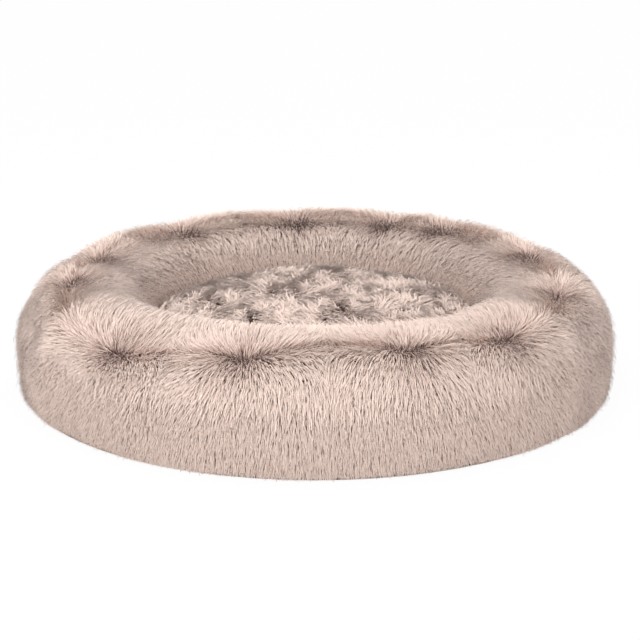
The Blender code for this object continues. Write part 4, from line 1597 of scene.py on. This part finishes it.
class PETBED_OT_zip_coils(Operator):
    """Adds the two nylon coils of the zip, turn by turn"""

    bl_idname = "pet_bed.zip_coils"
    bl_label = "Zip coils"

    def execute(self, context):
        settings = trim_settings()
        nylon = spotted_material("zip_nylon", settings.coil_colour, 0.003, 0.12, 0.42)
        for part in ("lower", "upper"):
            node = "zip_coil_" + part
            low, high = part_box(node)
            half_width = (high.z - low.z + COIL_REACH) / 2
            height = low.z + half_width if part == "lower" else high.z - half_width
            start, end = zip_reach(node)
            count = int((end - start) * high.y / settings.tooth_pitch)
            share = (np.arange(count) + 0.5 + (0.5 if part == "upper" else 0.0)) / (count + 0.5)
            turn = model_coil_turn(half_width, COIL_HALF_DEPTH, settings.tooth_pitch)
            angles = start + (end - start) * share
            coil = round_bed("coil_" + part, turn, angles, high.y - COIL_HALF_DEPTH, height)
            finish_piece(coil, coil.name, nylon, [node])
        return {"FINISHED"}


class PETBED_OT_stitching(Operator):
    """Adds the rows of stitches along the zip's tapes and round the edge of the underside"""

    bl_idname = "pet_bed.stitching"
    bl_label = "Stitching"

    def execute(self, context):
        thread = spotted_material("sewing_thread", trim_settings().thread_colour, 0.0006, 0.2, 0.7)
        stitch = model_stitch(STITCH_LENGTH)
        pitch = STITCH_LENGTH + STITCH_SPACE
        for part, side in (("lower", 0), ("upper", 1)):
            node = "zip_tape_" + part
            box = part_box(node)
            start, end = zip_reach(node)
            angles = np.linspace(start, end, int((end - start) * box[1].y / pitch))[1:-1]
            for row, inset in (("edge", TAPE_EDGE_INSET), ("coil", box[1].z - box[0].z - COIL_ROW_INSET)):
                height = box[0].z + inset if side == 0 else box[1].z - inset
                seam = round_bed(f"{part}_tape_{row}_stitches", stitch, angles, box[1].y, height)
                finish_piece(seam, seam.name, thread)
        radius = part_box("base_panel")[1].x - BASE_EDGE_INSET
        flat_stitch = (stitch[0][:, [0, 2, 1]] * np.array([1.0, 1.0, -1.0]), stitch[1])
        angles = np.linspace(0, FULL_TURN, int(FULL_TURN * radius / (2 * pitch)) + 1)[:-1]
        edge = round_bed("base_edge_stitches", flat_stitch, angles, radius, 0.0)
        finish_piece(edge, edge.name, thread)
        return {"FINISHED"}


class PETBED_OT_grip_dots(Operator):
    """Adds the rubber dots that keep the underside from slipping"""

    bl_idname = "pet_bed.grip_dots"
    bl_label = "Grip dots"

    def execute(self, context):
        settings = trim_settings()
        pitch = settings.grip_pitch
        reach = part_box("base_panel")[1].x - GRIP_MARGIN
        row_pitch = pitch * math.sin(FULL_TURN / 6)
        rows = int(reach / row_pitch)
        row, column = np.meshgrid(np.arange(-rows, rows + 1), np.arange(-2 * rows, 2 * rows + 1))
        across = (column + 0.5 * (row % 2)) * pitch
        deep = row * row_pitch
        inside = np.hypot(across, deep) < reach
        origins = np.stack([across[inside], deep[inside], np.zeros(inside.sum())], axis=-1)
        outwards = np.broadcast_to(np.array([0.0, 1.0, 0.0]), origins.shape)
        dots = copies("grip_dots", model_grip_dot(), origins, outwards)
        rubber = spotted_material("grip_rubber", settings.grip_colour, 0.002, 0.08, 0.65)
        finish_piece(dots, dots.name, rubber)
        return {"FINISHED"}


class PETBED_OT_trim(Operator):
    """Gives the base, the zip and the inserts their finishes"""

    bl_idname = "pet_bed.trim"
    bl_label = "Trim"

    def execute(self, context):
        settings = trim_settings()
        base = woven_material("base_cloth", settings.base_colour, 0.0011, 0.3, 0.0003)
        tape = woven_material("zip_tape_weave", settings.tape_colour, 0.0004, 0.22, 0.0001)
        binding = bpy.data.materials["seam_binding"]
        liner = woven_material("liner_cloth", settings.liner_colour, 0.0008, 0.12, 0.0001)
        fibre = spotted_material("loose_fibre", (0.86, 0.86, 0.84), 0.012, 0.08, 1.0, 0.004)
        metal = metal_material(settings.metal_colour)
        finishes = {
            "base_panel": base,
            "crevice_tape": binding,
            "bolster_liner": liner,
            "cushion_liner": liner,
            "bolster_fill": fibre,
            "cushion_fill": fibre,
            "zip_tape_lower": tape,
            "zip_tape_upper": tape,
            "zip_top_stop_lower": metal,
            "zip_top_stop_upper": metal,
            "zip_bottom_stop": metal,
            "zip_slider": metal,
            "zip_pull": metal,
        }
        for node, material in finishes.items():
            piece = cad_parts[node]
            piece.data.materials.clear()
            piece.data.materials.append(material)
        return {"FINISHED"}


class PETBED_OT_stage(Operator):
    """Adds the floor, the lamps and the camera"""

    bl_idname = "pet_bed.stage"
    bl_label = "Stage"

    def execute(self, context):
        settings = stage_settings()
        scene = context.scene
        deselect_all()
        bpy.ops.mesh.primitive_plane_add(size=FLOOR_SIZE, location=FLOOR_PLACE)
        floor = context.object
        floor.name = "studio_floor"
        floor.data.materials.append(self.floor_material())
        self.light_world(settings)
        powers = {"key": settings.key_power, "fill": settings.fill_power, "top": settings.top_power}
        for kind, power in powers.items():
            size, place = LAMPS[kind]
            light = bpy.data.lights.new(kind + "_lamp", "AREA")
            light.energy = power
            light.size = size
            lamp = bpy.data.objects.new(light.name, light)
            lamp.location = place
            lamp.rotation_euler = (LAMP_AIM - place).to_track_quat("-Z", "Y").to_euler()
            scene.collection.objects.link(lamp)
        self.add_camera(settings)
        scene.view_settings.view_transform = "Standard"
        return {"FINISHED"}

    def floor_material(self):
        """White paper that keeps the bed's shadow."""
        material, tree = empty_material("studio_paper")
        paper = add_node(tree, "BsdfDiffuse", values={"Color": PAPER_COLOUR})
        glow = add_node(tree, "Emission", values={"Color": WHITE})
        ray = add_node(tree, "LightPath").outputs
        seen = ray["Is Camera Ray"]
        for other in ("Is Glossy Ray", "Is Transmission Ray"):
            seen = add_node(tree, "Math", {0: seen, 1: ray[other]}, operation="MAXIMUM").outputs["Value"]
        share = add_node(tree, "Math", {0: seen}, {1: PAPER_GLOW_SHARE}, operation="MULTIPLY")
        feeds = {0: share.outputs["Value"], 1: paper.outputs["BSDF"], 2: glow.outputs["Emission"]}
        mix = add_node(tree, "MixShader", feeds)
        add_node(tree, "OutputMaterial", {"Surface": mix.outputs["Shader"]})
        return material

    def light_world(self, settings):
        """An even pale sky that shows as white."""
        world = bpy.data.worlds.new("studio_sky")
        bpy.context.scene.world = world
        world.use_nodes = True
        tree = world.node_tree
        background = tree.nodes["Background"]
        background.inputs["Color"].default_value = WHITE
        ray = add_node(tree, "LightPath").outputs
        feeds = {0: ray["Is Camera Ray"], 1: ray["Is Transmission Ray"]}
        seen = add_node(tree, "Math", feeds, operation="MAXIMUM").outputs["Value"]
        strengths = {"To Min": settings.sky_strength, "To Max": 1.0}
        strength = add_node(tree, "MapRange", {"Value": seen}, strengths)
        tree.links.new(strength.outputs["Result"], background.inputs["Strength"])

    def add_camera(self, settings):
        """The camera at the photograph's angle."""
        data = bpy.data.cameras.new("camera")
        data.lens = settings.lens
        data.shift_x, data.shift_y = CAMERA_SHIFT
        camera = bpy.data.objects.new("camera", data)
        back = Vector((0, -math.cos(settings.elevation), math.sin(settings.elevation)))
        camera.location = CAMERA_AIM + back * settings.distance
        camera.rotation_euler = (-back).to_track_quat("-Z", "Y").to_euler()
        bpy.context.scene.collection.objects.link(camera)
        bpy.context.scene.camera = camera


class PETBED_PT_panel(Panel):
    """Lists the pieces of the bed and their settings"""

    bl_label = "Pet Bed"
    bl_idname = "PETBED_PT_panel"
    bl_space_type = "VIEW_3D"
    bl_region_type = "UI"
    bl_category = "Pet Bed"

    def draw(self, context):
        layout = self.layout
        for settings in (fur_settings(), trim_settings(), stage_settings()):
            box = layout.box()
            for name in settings.__annotations__:
                box.prop(settings, name)
        for operator in OPERATORS:
            layout.operator(operator.bl_idname)


SETTINGS = (FurSettings, TrimSettings, StageSettings)
OPERATORS = (
    PETBED_OT_ring_cover,
    PETBED_OT_seam_tape,
    PETBED_OT_centre_cover,
    PETBED_OT_ring_fur,
    PETBED_OT_centre_fur,
    PETBED_OT_fuzz,
    PETBED_OT_zip_coils,
    PETBED_OT_stitching,
    PETBED_OT_grip_dots,
    PETBED_OT_trim,
    PETBED_OT_stage,
)


def register():
    """Registers the settings, the operators and the panel."""
    for item in (*SETTINGS, *OPERATORS, PETBED_PT_panel):
        bpy.utils.register_class(item)
    bpy.types.Scene.pet_bed_fur = PointerProperty(type=FurSettings)
    bpy.types.Scene.pet_bed_trim = PointerProperty(type=TrimSettings)
    bpy.types.Scene.pet_bed_stage = PointerProperty(type=StageSettings)


def unregister():
    """Removes what register added."""
    del bpy.types.Scene.pet_bed_fur
    del bpy.types.Scene.pet_bed_trim
    del bpy.types.Scene.pet_bed_stage
    for item in reversed((*SETTINGS, *OPERATORS, PETBED_PT_panel)):
        bpy.utils.unregister_class(item)


def main():
    """Makes the whole bed and its stage."""
    register()
    bpy.ops.pet_bed.ring_cover()
    bpy.ops.pet_bed.seam_tape()
    bpy.ops.pet_bed.centre_cover()
    bpy.ops.pet_bed.ring_fur()
    bpy.ops.pet_bed.centre_fur()
    bpy.ops.pet_bed.fuzz()
    bpy.ops.pet_bed.zip_coils()
    bpy.ops.pet_bed.stitching()
    bpy.ops.pet_bed.grip_dots()
    bpy.ops.pet_bed.trim()
    bpy.ops.pet_bed.stage()


if __name__ == "__main__":
    main()
